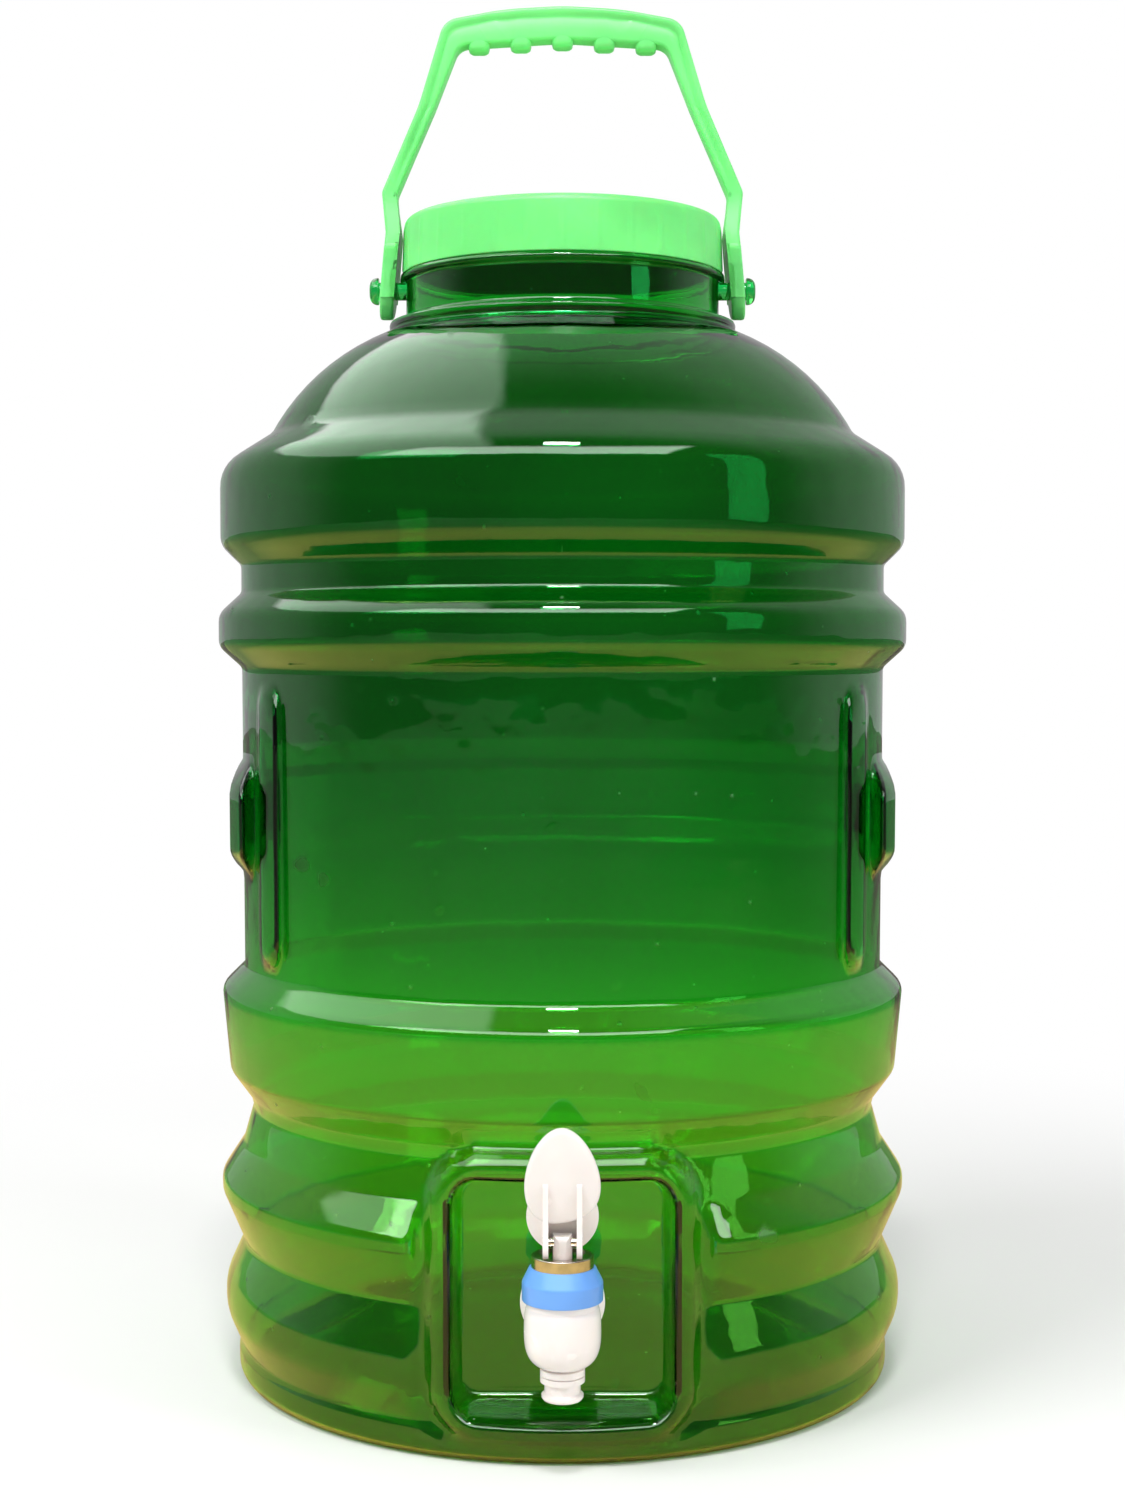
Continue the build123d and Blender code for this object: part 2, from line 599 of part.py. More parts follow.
def lid():
    """The screw lid: skirt, top plate with a shallow panel, and the grip ribs."""
    inside = LID_TOP - LID_PLATE
    cap = turned([
        (0, LID_TOP - LID_PANEL_DEPTH),
        (LID_PANEL_RADIUS - LID_PANEL_SLOPE, LID_TOP - LID_PANEL_DEPTH),
        (LID_PANEL_RADIUS, LID_TOP), (LID_TOP_RADIUS, LID_TOP, LID_EDGE_ROUND),
        (LID_BOTTOM_RADIUS, LID_BOTTOM), (LID_BOTTOM_RADIUS - LID_WALL, LID_BOTTOM),
        (LID_TOP_RADIUS - LID_WALL - LID_CORNER_EXTRA, inside), (0, inside),
    ])
    slope = math.degrees(math.atan2(LID_TAPER, LID_TOP - LID_BOTTOM))
    height = LID_TOP - LID_BOTTOM - LID_EDGE_ROUND - 2 * LID_RIB_MARGIN
    bar = Box(2 * (LID_RIB_PROUD + LID_RIB_ROOT), LID_RIB_WIDTH, height)
    bar = fillet(bar.edges().filter_by(Axis.Z).sort_by(Axis.X)[2:], LID_RIB_ROUND)
    middle = LID_BOTTOM + LID_RIB_MARGIN + height / 2
    radius = LID_BOTTOM_RADIUS - (middle - LID_BOTTOM) * math.tan(math.radians(slope))
    rib = Pos(radius - LID_RIB_ROOT, 0, middle) * Rot(0, -slope, 0) * bar
    for i in range(LID_RIB_COUNT):
        cap += Rot(0, 0, 360 / LID_RIB_COUNT * (i + 0.5)) * rib
    return cap


def lid_liner():
    """The soft disc in the lid that seals on the mouth."""
    return Pos(0, 0, MOUTH_TOP + LINER_THICKNESS / 2) * Cylinder(LINER_RADIUS, LINER_THICKNESS)


# Handle


def mirrored(right):
    """The points of the right half, from the top down, and before them those of the left."""
    return [(-x, z) for x, z in reversed(right)]


def handle_outer():
    """Filled outline of the handle and everything inside it, as seen from the front."""
    right = [
        (HANDLE_CORNER_X / 2, HANDLE_TOP - HANDLE_ARCH * ARCH_MIDDLE),
        (HANDLE_CORNER_X, HANDLE_TOP - HANDLE_ARCH), (ARM_BOW_X, ARM_BOW_Z), (KINK_X, KINK_Z),
        (PINCH_X, PINCH_Z), (ARM_END_X, STUD_HEIGHT - EYE_RADIUS),
    ]
    rounds = [GRIP_ROUND, HANDLE_CORNER_ROUND, ARM_BOW_ROUND, KINK_ROUND, PINCH_ROUND]
    points = mirrored(right) + [(0, HANDLE_TOP)] + right
    edge = FilletPolyline(*points, radius=rounds[::-1] + [GRIP_ROUND] + rounds)
    return make_face(edge + Line(points[-1], points[0]))


def handle_inner():
    """Filled outline of the open loop inside the handle."""
    corner_z = HANDLE_TOP - GRIP_HEIGHT - HANDLE_ARCH * GRIP_SAG
    right = [
        (HANDLE_CORNER_X - CORNER_WIDTH, corner_z), (ARM_BOW_X - ARM_WIDTH, ARM_BOW_Z - BOW_DROP),
        (KINK_X - KINK_WIDTH, KINK_Z - KINK_DROP), (PINCH_X - ARM_END_WIDTH, PINCH_Z),
        (ARM_END_X - ARM_END_WIDTH, STUD_HEIGHT - EYE_RADIUS - ARM_END_OVER),
    ]
    rounds = [INNER_CORNER_ROUND, ARM_BOW_ROUND - ARM_WIDTH, KINK_ROUND, PINCH_ROUND]
    points = mirrored(right) + [(0, HANDLE_TOP - GRIP_HEIGHT)] + right
    edge = FilletPolyline(*points, radius=rounds[::-1] + [GRIP_INNER_ROUND] + rounds)
    return make_face(edge + Line(points[-1], points[0]))


def handle_side():
    """The handle's outline from the side: slim above, and widening to the round eyes."""
    half = HANDLE_DEPTH / 2
    high, low = STUD_HEIGHT + EYE_TAPER_TOP, STUD_HEIGHT + EYE_TAPER_LOW
    side = make_face(Polyline(
        (-half, HANDLE_TOP + PAST), (-half, high), (-EYE_RADIUS, low), (-EYE_RADIUS, STUD_HEIGHT),
        (EYE_RADIUS, STUD_HEIGHT), (EYE_RADIUS, low), (half, high), (half, HANDLE_TOP + PAST),
        close=True))
    return side + Pos(0, STUD_HEIGHT) * Circle(EYE_RADIUS)


def finger_bump(x):
    """One block under the grip between two fingers."""
    z = HANDLE_TOP - GRIP_HEIGHT - abs(x) / HANDLE_CORNER_X * HANDLE_ARCH * GRIP_SAG
    bump = Box(BUMP_WIDTH, HANDLE_WEB_DEPTH - 2 * BUMP_STEP, BUMP_DROP + BUMP_ROOT)
    bump = fillet(bump.edges().filter_by(Axis.Y).sort_by(Axis.Z)[:2], BUMP_ROUND)
    return Pos(x, 0, z + (BUMP_ROOT - BUMP_DROP) / 2) * bump


def handle():
    """The one-piece handle: rimmed grip and arms, finger bumps, and eyes with keyholes."""
    outer, inner = handle_outer(), handle_inner()
    plane = upright()
    body = extrude(plane * (outer - inner), EYE_RADIUS + PAST, both=True)
    body &= extrude(Plane.YZ * handle_side(), BIG / 2, both=True)
    above = Pos(0, STUD_HEIGHT + WEB_RISE + BIG / 2) * Rectangle(BIG, BIG)
    web = (offset(outer, -HANDLE_RIM) - inner) & above
    sunk = extrude(plane * web, HANDLE_DEPTH, both=True)
    body -= sunk - extrude(plane * web, HANDLE_WEB_DEPTH / 2, both=True)
    for i in range(BUMP_COUNT):
        body += finger_bump((i - (BUMP_COUNT - 1) / 2) * BUMP_PITCH)
    eye = STUD_RADIUS + EYE_CLEARANCE
    entry = STUD_HEAD_RADIUS + KEYHOLE_CLEARANCE
    body -= ring_x(eye, 0, -BIG / 2, BIG / 2, 0, STUD_HEIGHT)
    body -= ring_x(entry, 0, -BIG / 2, BIG / 2, 0, STUD_HEIGHT + KEYHOLE_RISE)
    body -= Pos(0, 0, STUD_HEIGHT + KEYHOLE_RISE / 2) * Box(BIG, KEYHOLE_SLOT, KEYHOLE_RISE)
    return body


# Tap


def tap_body():
    """Barrel, spout, shank and wall flange of the tap, one moulding."""
    ring_top = SPOUT_RING_LOW + SPOUT_RING_HEIGHT
    ring_two = ring_top + SPOUT_RING_GAP
    groove = SPOUT_RADIUS + SPOUT_GROOVE_PROUD
    lower = Polyline(
        (0, SPOUT_LOW), (LIP_RADIUS - LIP_BEVEL_IN, SPOUT_LOW), (LIP_RADIUS, SPOUT_LOW + LIP_BEVEL),
        (LIP_RADIUS, SPOUT_LOW + LIP_HEIGHT - LIP_BEVEL), (SPOUT_RADIUS, SPOUT_LOW + LIP_HEIGHT),
        (SPOUT_RADIUS, SPOUT_RING_LOW), (SPOUT_RING_RADIUS, SPOUT_RING_LOW + SPOUT_RING_BEVEL),
        (SPOUT_RING_RADIUS, ring_top), (groove, ring_top + SPOUT_GROOVE_FLARE),
        (groove, ring_two - SPOUT_GROOVE_FLARE), (SPOUT_RING_RADIUS, ring_two),
        (SPOUT_RING_RADIUS, BULB_LOW - BULB_FOOT_STEP),
        (BULB_BASE_RADIUS, BULB_LOW),
    )
    bulb = Spline((BULB_BASE_RADIUS, BULB_LOW), (BULB_RADIUS, BULB_MIDDLE),
                  (BULB_TOP_RADIUS, BULB_TOP), tangents=[BULB_BASE_WAY, BULB_TOP_WAY])
    upper = Polyline(
        (BULB_TOP_RADIUS, BULB_TOP), (BULB_TOP_RADIUS, TAP_BAND_TOP),
        (TAP_THREAD_RADIUS, TAP_BAND_TOP), (TAP_THREAD_RADIUS, TAP_THREAD_TOP),
        (0, TAP_THREAD_TOP), (0, SPOUT_LOW),
    )
    barrel = Pos(0, TAP_Y, 0) * revolve(Plane.XZ * make_face(lower + bulb + upper), Axis.Z)
    flange_back = -(RECESS_FACE + GASKET_THICKNESS)
    flange_front = flange_back - TAP_FLANGE_THICKNESS
    barrel += ring_y(TAP_NECK_RADIUS, 0, TAP_Y, flange_back, SHANK_HEIGHT)
    barrel += ring_y(TAP_FLANGE_RADIUS, 0, flange_front, flange_back, SHANK_HEIGHT)
    barrel += ring_y(SHANK_RADIUS, 0, flange_back, SHANK_END_Y, SHANK_HEIGHT)
    high, low = TAP_THREAD_TOP + PAST, SPOUT_LOW - PAST
    chamber = Cylinder(CHAMBER_RADIUS, high - SEAT_HEIGHT)
    barrel -= Pos(0, TAP_Y, (SEAT_HEIGHT + high) / 2) * chamber
    barrel -= Pos(0, TAP_Y, (low + SEAT_HEIGHT + PAST) / 2) * Cylinder(
        SPOUT_BORE, SEAT_HEIGHT + PAST - low)
    barrel -= ring_y(SHANK_BORE, 0, TAP_Y, SHANK_END_Y + PAST, SHANK_HEIGHT)
    return barrel


def tap_collar():
    """The coloured ring cap that screws on the barrel and holds the stem's seal down."""
    plate_low = TAP_THREAD_TOP + STEM_SEAL_THICKNESS
    bore = TAP_THREAD_RADIUS + COLLAR_THREAD_CLEARANCE
    hole = STEM_RADIUS + STEM_HOLE_CLEARANCE
    return turned([
        (bore, TAP_BAND_TOP), (COLLAR_RADIUS, TAP_BAND_TOP, COLLAR_FOOT_ROUND),
        (COLLAR_RADIUS, COLLAR_SHOULDER, COLLAR_ROUND),
        (COLLAR_TOP_RADIUS, COLLAR_TOP, COLLAR_TOP_ROUND),
        (hole, COLLAR_TOP), (hole, plate_low), (bore, plate_low),
    ], TAP_Y)


def cap_floor():
    """Height of the steel cap's floor."""
    return COLLAR_TOP + CAP_HEIGHT - CAP_FLOOR_DROP


def tap_cap():
    """The pressed steel cap on the collar that the lever's cams press on."""
    top = COLLAR_TOP + CAP_HEIGHT
    floor_top = cap_floor()
    floor_low = floor_top - CAP_WALL
    hole = STEM_RADIUS + STEM_HOLE_CLEARANCE
    return turned([
        (CAP_RADIUS - CAP_WALL, COLLAR_TOP), (CAP_RADIUS, COLLAR_TOP),
        (CAP_RADIUS, top, CAP_EDGE_ROUND), (CAP_RADIUS - CAP_WALL, top, CAP_EDGE_ROUND),
        (CAP_RADIUS - CAP_WALL, floor_top),
        (hole, floor_top), (hole, floor_low), (CAP_RADIUS - CAP_WALL, floor_low),
    ], TAP_Y)


def stem_seal():
    """The soft washer clamped under the collar, with a lip round the stem."""
    hole = STEM_RADIUS + STEM_SEAL_CLEARANCE
    top = TAP_THREAD_TOP + STEM_SEAL_THICKNESS
    return turned([
        (hole, TAP_THREAD_TOP - STEM_SEAL_DROP),
        (hole + STEM_SEAL_LIP, TAP_THREAD_TOP - STEM_SEAL_DROP),
        (hole + STEM_SEAL_LIP, TAP_THREAD_TOP), (TAP_THREAD_RADIUS, TAP_THREAD_TOP),
        (TAP_THREAD_RADIUS, top), (hole, top),
    ], TAP_Y)


def valve_seal():
    """The soft plug on the stem's foot that closes the seat."""
    top = SEAT_HEIGHT + PLUG_HEIGHT
    plug = turned([
        (0, SEAT_HEIGHT), (PLUG_RADIUS - PLUG_BEVEL, SEAT_HEIGHT),
        (PLUG_RADIUS, SEAT_HEIGHT + PLUG_BEVEL_HEIGHT), (PLUG_RADIUS, top, PLUG_ROUND), (0, top),
    ], TAP_Y)
    socket = Cylinder(STEM_FOOT_RADIUS + PLUG_CLEARANCE, PLUG_SOCKET)
    return plug - Pos(0, TAP_Y, top - PLUG_SOCKET / 2) * socket


def valve_stem():
    """The stem: foot in the plug, spring plate, round shaft and the drilled tongue."""
    plug_top = SEAT_HEIGHT + PLUG_HEIGHT
    shaft = turned([
        (0, plug_top - PLUG_SOCKET), (STEM_FOOT_RADIUS, plug_top - PLUG_SOCKET),
        (STEM_FOOT_RADIUS, plug_top), (STEM_PLATE_RADIUS, plug_top),
        (STEM_PLATE_RADIUS, plug_top + STEM_PLATE, STEM_PLATE_ROUND),
        (STEM_RADIUS, plug_top + STEM_PLATE), (STEM_RADIUS, PIN_HEIGHT), (0, PIN_HEIGHT),
    ], TAP_Y)
    half = STEM_TONGUE_WIDTH / 2
    shaft -= Pos(0, TAP_Y, PIN_HEIGHT) * Box(4 * half, 4 * half, 2 * STEM_EYE_RADIUS)
    eye = ring_x(STEM_EYE_RADIUS, 0, -half, half, TAP_Y, PIN_HEIGHT)
    root = PIN_HEIGHT - STEM_EYE_RADIUS
    eye += Pos(0, TAP_Y, (root + PIN_HEIGHT) / 2) * Box(
        2 * half, 2 * STEM_EYE_RADIUS, STEM_EYE_RADIUS)
    eye &= Pos(0, TAP_Y, PIN_HEIGHT) * Cylinder(STEM_RADIUS, 4 * STEM_EYE_RADIUS)
    hole = ring_x(PIN_RADIUS + PIN_CLEARANCE, 0, -2 * half, 2 * half, TAP_Y, PIN_HEIGHT)
    return shaft + eye - hole


def valve_spring():
    """The return spring between the stem's plate and the stem's seal."""
    low = SEAT_HEIGHT + PLUG_HEIGHT + STEM_PLATE + SPRING_WIRE / 2 + SPRING_GAP
    high = TAP_THREAD_TOP - SPRING_WIRE / 2 - SPRING_GAP
    pitch = (high - low) / SPRING_TURNS
    path = Pos(0, TAP_Y, low) * Helix(pitch, high - low, SPRING_RADIUS)
    wire = Plane(path @ 0, z_dir=path % 0) * Circle(SPRING_WIRE / 2)
    return sweep(wire, path=path, is_frenet=True)


def gasket(near):
    """A soft washer on the shank, from this distance from the axis outwards."""
    inner = SHANK_RADIUS + GASKET_CLEARANCE
    return ring_y(GASKET_RADIUS, inner, -(near + GASKET_THICKNESS), -near, SHANK_HEIGHT)


def tap_nut():
    """The nut that draws the tap up against the wall from inside the jar."""
    start = RECESS_FACE - WALL - GASKET_THICKNESS
    across = NUT_FLATS / math.cos(math.pi / 6) / 2
    face = upright(y=-(start - NUT_THICKNESS), z=SHANK_HEIGHT) * RegularPolygon(across, 6)
    nut = extrude(face, NUT_THICKNESS)
    return nut - ring_y(SHANK_RADIUS + NUT_CLEARANCE, 0, -start - PAST,
                        -start + NUT_THICKNESS + PAST, SHANK_HEIGHT)


def lever_cheek(side):
    """One side plate of the lever: a cam below, the pin's hole, and a neck up to the paddle."""
    cam_radius = PIN_HEIGHT - cap_floor() - CAM_CLEARANCE
    x_low = STEM_TONGUE_WIDTH / 2 + CHEEK_GAP
    foot = Pos(TAP_Y - CAM_OFFSET, PIN_HEIGHT) * Circle(cam_radius)
    hub = Pos(TAP_Y + HUB_BACK, PIN_HEIGHT + HUB_RISE) * Circle(cam_radius - HUB_STEP)
    neck = Pos(PADDLE_CENTRE_Y + CHEEK_NECK_BACK, PADDLE_CENTRE_Z - CHEEK_NECK_DROP) * Circle(
        CHEEK_NECK_RADIUS)
    back = Pos(LOBE_FRONT_Y + LOBE_JOIN_BACK, LOBE_CENTRE_Z + LOBE_JOIN_RISE) * Circle(
        LOBE_JOIN_RADIUS)
    outline = make_hull(foot.edges() + hub.edges() + neck.edges() + back.edges())
    plate = extrude(Plane.YZ * outline, CHEEK_THICKNESS)
    plate -= ring_x(PIN_RADIUS + PIN_PRESS_CLEARANCE, 0, -PAST, PAST, TAP_Y, PIN_HEIGHT)
    plate = Pos(x_low, 0, 0) * plate
    return plate if side > 0 else mirror(plate, Plane.YZ)


def tap_lever():
    """The lever: an egg-shaped paddle, a round lobe behind, and two cheeks with cams."""
    widest = -PADDLE_LENGTH * PADDLE_WIDEST_SHARE
    egg = make_face(Spline(
        (0, -PADDLE_LENGTH / 2), (PADDLE_WIDTH / 2, widest), (0, PADDLE_LENGTH / 2),
        (-PADDLE_WIDTH / 2, widest), periodic=True))
    slab = extrude(egg, PADDLE_THICKNESS / 2, both=True)
    slab = fillet(slab.edges(), PADDLE_ROUND)
    lean = math.radians(PADDLE_LEAN)
    tilt = Plane(origin=(0, PADDLE_CENTRE_Y, PADDLE_CENTRE_Z), x_dir=(1, 0, 0),
                 z_dir=(0, -math.cos(lean), -math.sin(lean)))
    paddle = tilt * slab
    disc = Pos(0, LOBE_CENTRE_Z) * Circle(LOBE_RADIUS)
    disc -= Pos(0, LOBE_CUT_Z - LOBE_RADIUS) * Rectangle(3 * LOBE_RADIUS, 2 * LOBE_RADIUS)
    back = LOBE_FRONT_Y + LOBE_THICKNESS
    lobe = extrude(upright(y=back) * disc, LOBE_THICKNESS)
    return paddle + lobe + lever_cheek(1) + lever_cheek(-1)


def lever_pin():
    """The steel cross pin through the cheeks and the stem's tongue."""
    reach = STEM_TONGUE_WIDTH / 2 + CHEEK_GAP + CHEEK_THICKNESS + PIN_OVERHANG
    return ring_x(PIN_RADIUS, 0, -reach, reach, TAP_Y, PIN_HEIGHT)


def build():
    """Every piece, by the name of its file."""
    wall_inner = RECESS_FACE - WALL - GASKET_THICKNESS
    return {
        "jar_body": jar_body(),
        "lid": lid(),
        "lid_liner": lid_liner(),
        "handle": handle(),
        "tap_body": tap_body(),
        "tap_collar": tap_collar(),
        "tap_cap": tap_cap(),
        "stem_seal": stem_seal(),
        "valve_seal": valve_seal(),
        "valve_stem": valve_stem(),
        "valve_spring": valve_spring(),
        "outer_gasket": gasket(RECESS_FACE),
        "inner_gasket": gasket(wall_inner),
        "tap_nut": tap_nut(),
        "tap_lever": tap_lever(),
        "lever_pin": lever_pin(),
    }


os.makedirs("parts", exist_ok=True)
for name, piece in build().items():
    export_step(piece, f"parts/{name}.step")
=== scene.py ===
import math

import bpy
import numpy as np
from bpy.props import FloatProperty, FloatVectorProperty, IntProperty, PointerProperty
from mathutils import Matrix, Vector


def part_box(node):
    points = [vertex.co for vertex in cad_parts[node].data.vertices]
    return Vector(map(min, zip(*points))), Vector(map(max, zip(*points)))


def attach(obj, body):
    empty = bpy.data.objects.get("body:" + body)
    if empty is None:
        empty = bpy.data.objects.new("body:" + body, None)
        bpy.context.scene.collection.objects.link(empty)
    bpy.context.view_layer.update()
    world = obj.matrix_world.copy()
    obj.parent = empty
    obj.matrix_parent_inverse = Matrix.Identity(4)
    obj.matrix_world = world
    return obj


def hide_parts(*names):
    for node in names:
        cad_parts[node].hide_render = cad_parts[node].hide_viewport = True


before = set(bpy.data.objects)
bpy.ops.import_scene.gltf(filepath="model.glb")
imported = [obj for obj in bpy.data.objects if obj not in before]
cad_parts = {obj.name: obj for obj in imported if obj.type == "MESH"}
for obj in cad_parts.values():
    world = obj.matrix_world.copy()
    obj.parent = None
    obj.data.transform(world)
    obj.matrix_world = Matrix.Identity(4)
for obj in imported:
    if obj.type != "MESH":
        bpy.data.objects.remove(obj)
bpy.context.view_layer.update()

bl_info = {
    "name": "Water jar with tap",
    "version": (1, 0, 0),
    "blender": (4, 5, 0),
    "location": "View3D > Sidebar > Water jar",
    "description": "Dresses the packed water jar: clear wall, lid, handle, tap and studio",
    "category": "Add Mesh",
}

MM = 0.001
PANEL_TAB = "Water jar"

# The jar's outer wall: radius, height and rounding of each corner in millimetres, from the middle
# of the underside up to the crease under the dome. The solids in the frame use the same values.
WALL_CORNERS = [
    (92.0, 6.0, 6.0), (106.0, 0.0, 6.0), (129.6, 0.0, 5.0), (129.6, 10.6, 1.8), (128.4, 12.8, 1.0),
    (134.6, 27.0, 20.0), (134.6, 37.5, 20.0), (127.3, 53.6, 1.6), (135.9, 74.0, 5.5),
    (135.9, 78.8, 5.5), (127.5, 91.5, 3.0), (123.4, 106.0, 3.0), (124.6, 110.5, 3.0),
    (132.5, 121.4, 5.0), (135.4, 153.2, 5.0), (126.6, 161.8, 3.0), (127.1, 278.6, 3.0),
    (136.1, 286.8, 6.0), (136.1, 299.6, 7.0), (127.2, 307.8, 3.0), (127.2, 318.6, 3.0),
    (135.2, 326.4, 8.0), (135.2, 356.8, 14.0),
]
WALL_ROWS, WALL_COLUMNS = 212, 206
UNDERSIDE_MIDDLE = (0.0, 6.0)
CREASE = (115.2, 369.6)
DOME_CENTRE = (38.9, 328.8)
DOME_RADIUS = 86.5
DOME_TOP = (70.6, 409.4)
NECK_CORNERS = [
    (67.4, 410.4, 0.5), (68.6, 411.4, 0.7), (68.6, 414.0, 0.7), (62.0, 415.2, 2.0),
    (62.0, 430.2, 0.5), (64.4, 430.4, 0.6), (64.4, 432.8, 0.6), (60.4, 433.0, 0.5),
    (60.4, 452.0, 0.4),
]
MOUTH_RADIUS, MOUTH_HEIGHT = 59.4, 452.0

# The relief on the round wall: its radius at the foot and top of the middle part; the middle ring's
# lower foot, lower and upper crest, upper foot, radius and rounding, and how far from the front it
# ends, in degrees; and the upright ribs.
WALL_LOW, WALL_HIGH = 126.6, 127.1
MIDDLE_RING = (198.6, 208.6, 232.4, 242.4, 135.4, 5.0)
MIDDLE_RING_AZIMUTH = 71.0
RIB_AZIMUTH, RIB_WIDTH, RIB_LOW, RIB_HIGH, RIB_RADIUS = 60.0, 25.0, 163.6, 274.0, 129.7
RIB_SLOPE = 6.0

# The front: each box has a width, a lower and an upper height, and a corner radius, as seen from
# the front. FRONT_RADIUS turns azimuths there into X.
FRONT_RADIUS = 130.0
FRAME_BOX = (98.0, 5.0, 112.0, 24.0)
FRAME_RADIUS, FRAME_ROUND, FRAME_FALL = 133.4, 7.0, 2.5
RING_END_BOX = (104.0, 9.0, 92.5, 14.0)
RING_END_RADIUS = 127.3
POCKET_BOX = (73.0, 19.0, 98.0, 7.0)
POCKET_FACE = 110.0
POCKET_DRAFT = math.radians(8.0)
POCKET_FOOT, POCKET_RIM = 2.2, 3.4

# The stud: radius and distance from the jar's axis at each corner, and its height.
STUD_HEIGHT = 427.7
STUD_START, STUD_TIP = 61.6, 76.55
STUD_CORNERS = [(3.5, 61.6, 0.2), (3.5, 72.9, 0.3), (5.3, 72.9, 0.4), (5.3, 76.5, 3.0)]

# The lid: its profile from the middle of the top to the middle of the ceiling, and its grip ribs.
LID_TOP, LID_CEILING = 454.2, 453.2
LID_CORNERS = [
    (49.2, 454.2, 0.4), (50.2, 455.0, 0.4), (62.5, 455.0, 3.0), (63.3, 433.4, 0.5),
    (61.8, 433.4, 0.3), (60.8, 453.2, 0.6),
]
LID_RIB_HALF, LID_RIB_RADIUS = 0.9, 63.0
LID_SKIRT_LOW, LID_SKIRT_HIGH = (434.0, 435.0), (450.4, 451.6)

# The handle's outer and inner edge, right half, from the eye up to the middle of the grip.
OUTER_EDGE = [
    (69.6, 449.6, 8.0), (71.3, 466.0, 5.0), (56.6, 500.0, 70.0), (46.6, 532.9, 8.0),
    (23.3, 537.16, 120.0), (0.0, 538.5, 120.0),
]
INNER_EDGE = [
    (64.3, 449.6, 8.0), (65.4, 464.8, 5.0), (50.4, 499.0, 63.8), (40.8, 523.38, 6.0),
    (20.4, 524.64, 120.0), (0.0, 525.9, 120.0),
]
OUTER_END, INNER_END = (72.0, 424.0), (66.7, 424.0)
HANDLE_HALF_DEPTH = 6.0
HANDLE_RIM = 3.3
EYE_RADIUS, EYE_TOP, EYE_HALF_THICK = 11.2, 445.0, 2.65
SLOT_RADIUS, SLOT_HALF, HEAD_HOLE_RADIUS, HEAD_HOLE_RISE = 3.58, 3.2, 5.8, 8.6
GRIP_LOW, GRIP_HALF, GRIP_SAG = 525.9, 46.6, 2.52
BUMP_PITCH, BUMP_HALF_SIZE = 16.5, (4.2, 5.4, 3.5)

# Colours of pieces that no panel lists, and of what gloss and transmission meet. The floor's two
# colours seen only in gloss are a painted reflection: warm sunlit ground near the jar, dark ground
# further off.
FOAM_WHITE, SILICONE_WHITE, DUST = (0.85, 0.86, 0.84), (0.8, 0.8, 0.78), (0.75, 0.92, 0.78)
PAINTED_NEAR_REFLECTION, PAINTED_FAR_REFLECTION = (0.80, 0.60, 0.20), (0.09, 0.08, 0.05)
WHITE = (1.0, 1.0, 1.0, 1.0)


# Numbers on grids


def smoothstep(low, high, value):
    """0 below low, 1 above high, and the cubic 3t^2 - 2t^3 in between."""
    t = np.clip((value - low) / (high - low), 0.0, 1.0)
    return t * t * (3.0 - 2.0 * t)


def soft_max(a, b, width):
    """The larger of two values, with a parabola of this width where they cross."""
    h = np.clip(0.5 + 0.5 * (a - b) / width, 0.0, 1.0)
    return b + (a - b) * h + width * h * (1.0 - h)


def box_distance(x, z, box):
    """How far a point of the front view lies outside a rounded rectangle; inside it is negative."""
    width, low, high, corner = box
    dx = np.abs(x) - width / 2 + corner
    dz = np.abs(z - (low + high) / 2) - (high - low) / 2 + corner
    outside = np.hypot(np.maximum(dx, 0.0), np.maximum(dz, 0.0))
    return outside + np.minimum(np.maximum(dx, dz), 0.0) - corner


def corner_curve(start, corners, end, straight=8, arc=14):
    """A polyline whose corners are arcs: half the straight before each corner, the arc that touches
    both sides, and half the straight after it. Every corner gives the same number of points."""
    p = np.array([start] + [c[:2] for c in corners] + [end], float)
    size = np.array([c[2] for c in corners], float)[:, None]
    step = np.diff(p, axis=0)
    step /= np.linalg.norm(step, axis=1)[:, None]
    before, after, middle = step[:-1], step[1:], p[1:-1]
    cross = before[:, :1] * after[:, 1:] - before[:, 1:] * after[:, :1]
    turn = np.arctan2(np.abs(cross), np.sum(before * after, axis=1)[:, None])
    reach = size * np.tan(turn / 2)
    begin, finish = middle - reach * before, middle + reach * after
    normal = np.sign(cross) * np.stack([-before[:, 1], before[:, 0]], axis=1)
    angle = turn[:, None] * np.linspace(0, 1, arc)[None, :, None]
    bend = begin[:, None] + size[:, None] * (
        np.sin(angle) * before[:, None] + (1 - np.cos(angle)) * normal[:, None])
    last = np.vstack([p[:1], finish[:-1]])
    following = np.vstack([begin[1:], p[-1:]])
    share = np.linspace(0, 1, straight, endpoint=False)[None, :, None]
    enter = last + (begin - last) / 2
    enter[0] = p[0]
    leave = finish + (following - finish) / 2
    leave[-1] = p[-1]
    lead = enter[:, None] + (begin - enter)[:, None] * share
    tail = finish[:, None] + (leave - finish)[:, None] * np.linspace(0, 1, straight)[None, 1:, None]
    return np.concatenate([lead, bend, tail], axis=1)


def distinct(path):
    """The points of a polyline without those that repeat the one before."""
    step = np.linalg.norm(np.diff(path, axis=0), axis=1)
    return path[np.concatenate([[True], step > 1e-6])]


def stations(t, density, count):
    """count values of t, closer together where the density, points per unit of t, is higher."""
    grown = np.concatenate([[0.0], np.cumsum((density[1:] + density[:-1]) / 2 * np.diff(t))])
    return np.interp(np.linspace(0.0, grown[-1], count), grown, t)


def window(value, low, high, amount):
    """amount between low and high, and nothing outside."""
    return amount * ((value > low) & (value < high))


def turned(radius, height, azimuth):
    """Points at these radii and heights round Z. Azimuth 0 is the front, -Y; it grows towards +X."""
    return np.stack([
        radius * np.sin(azimuth), -radius * np.cos(azimuth), height + 0.0 * azimuth], axis=-1)


# Meshes


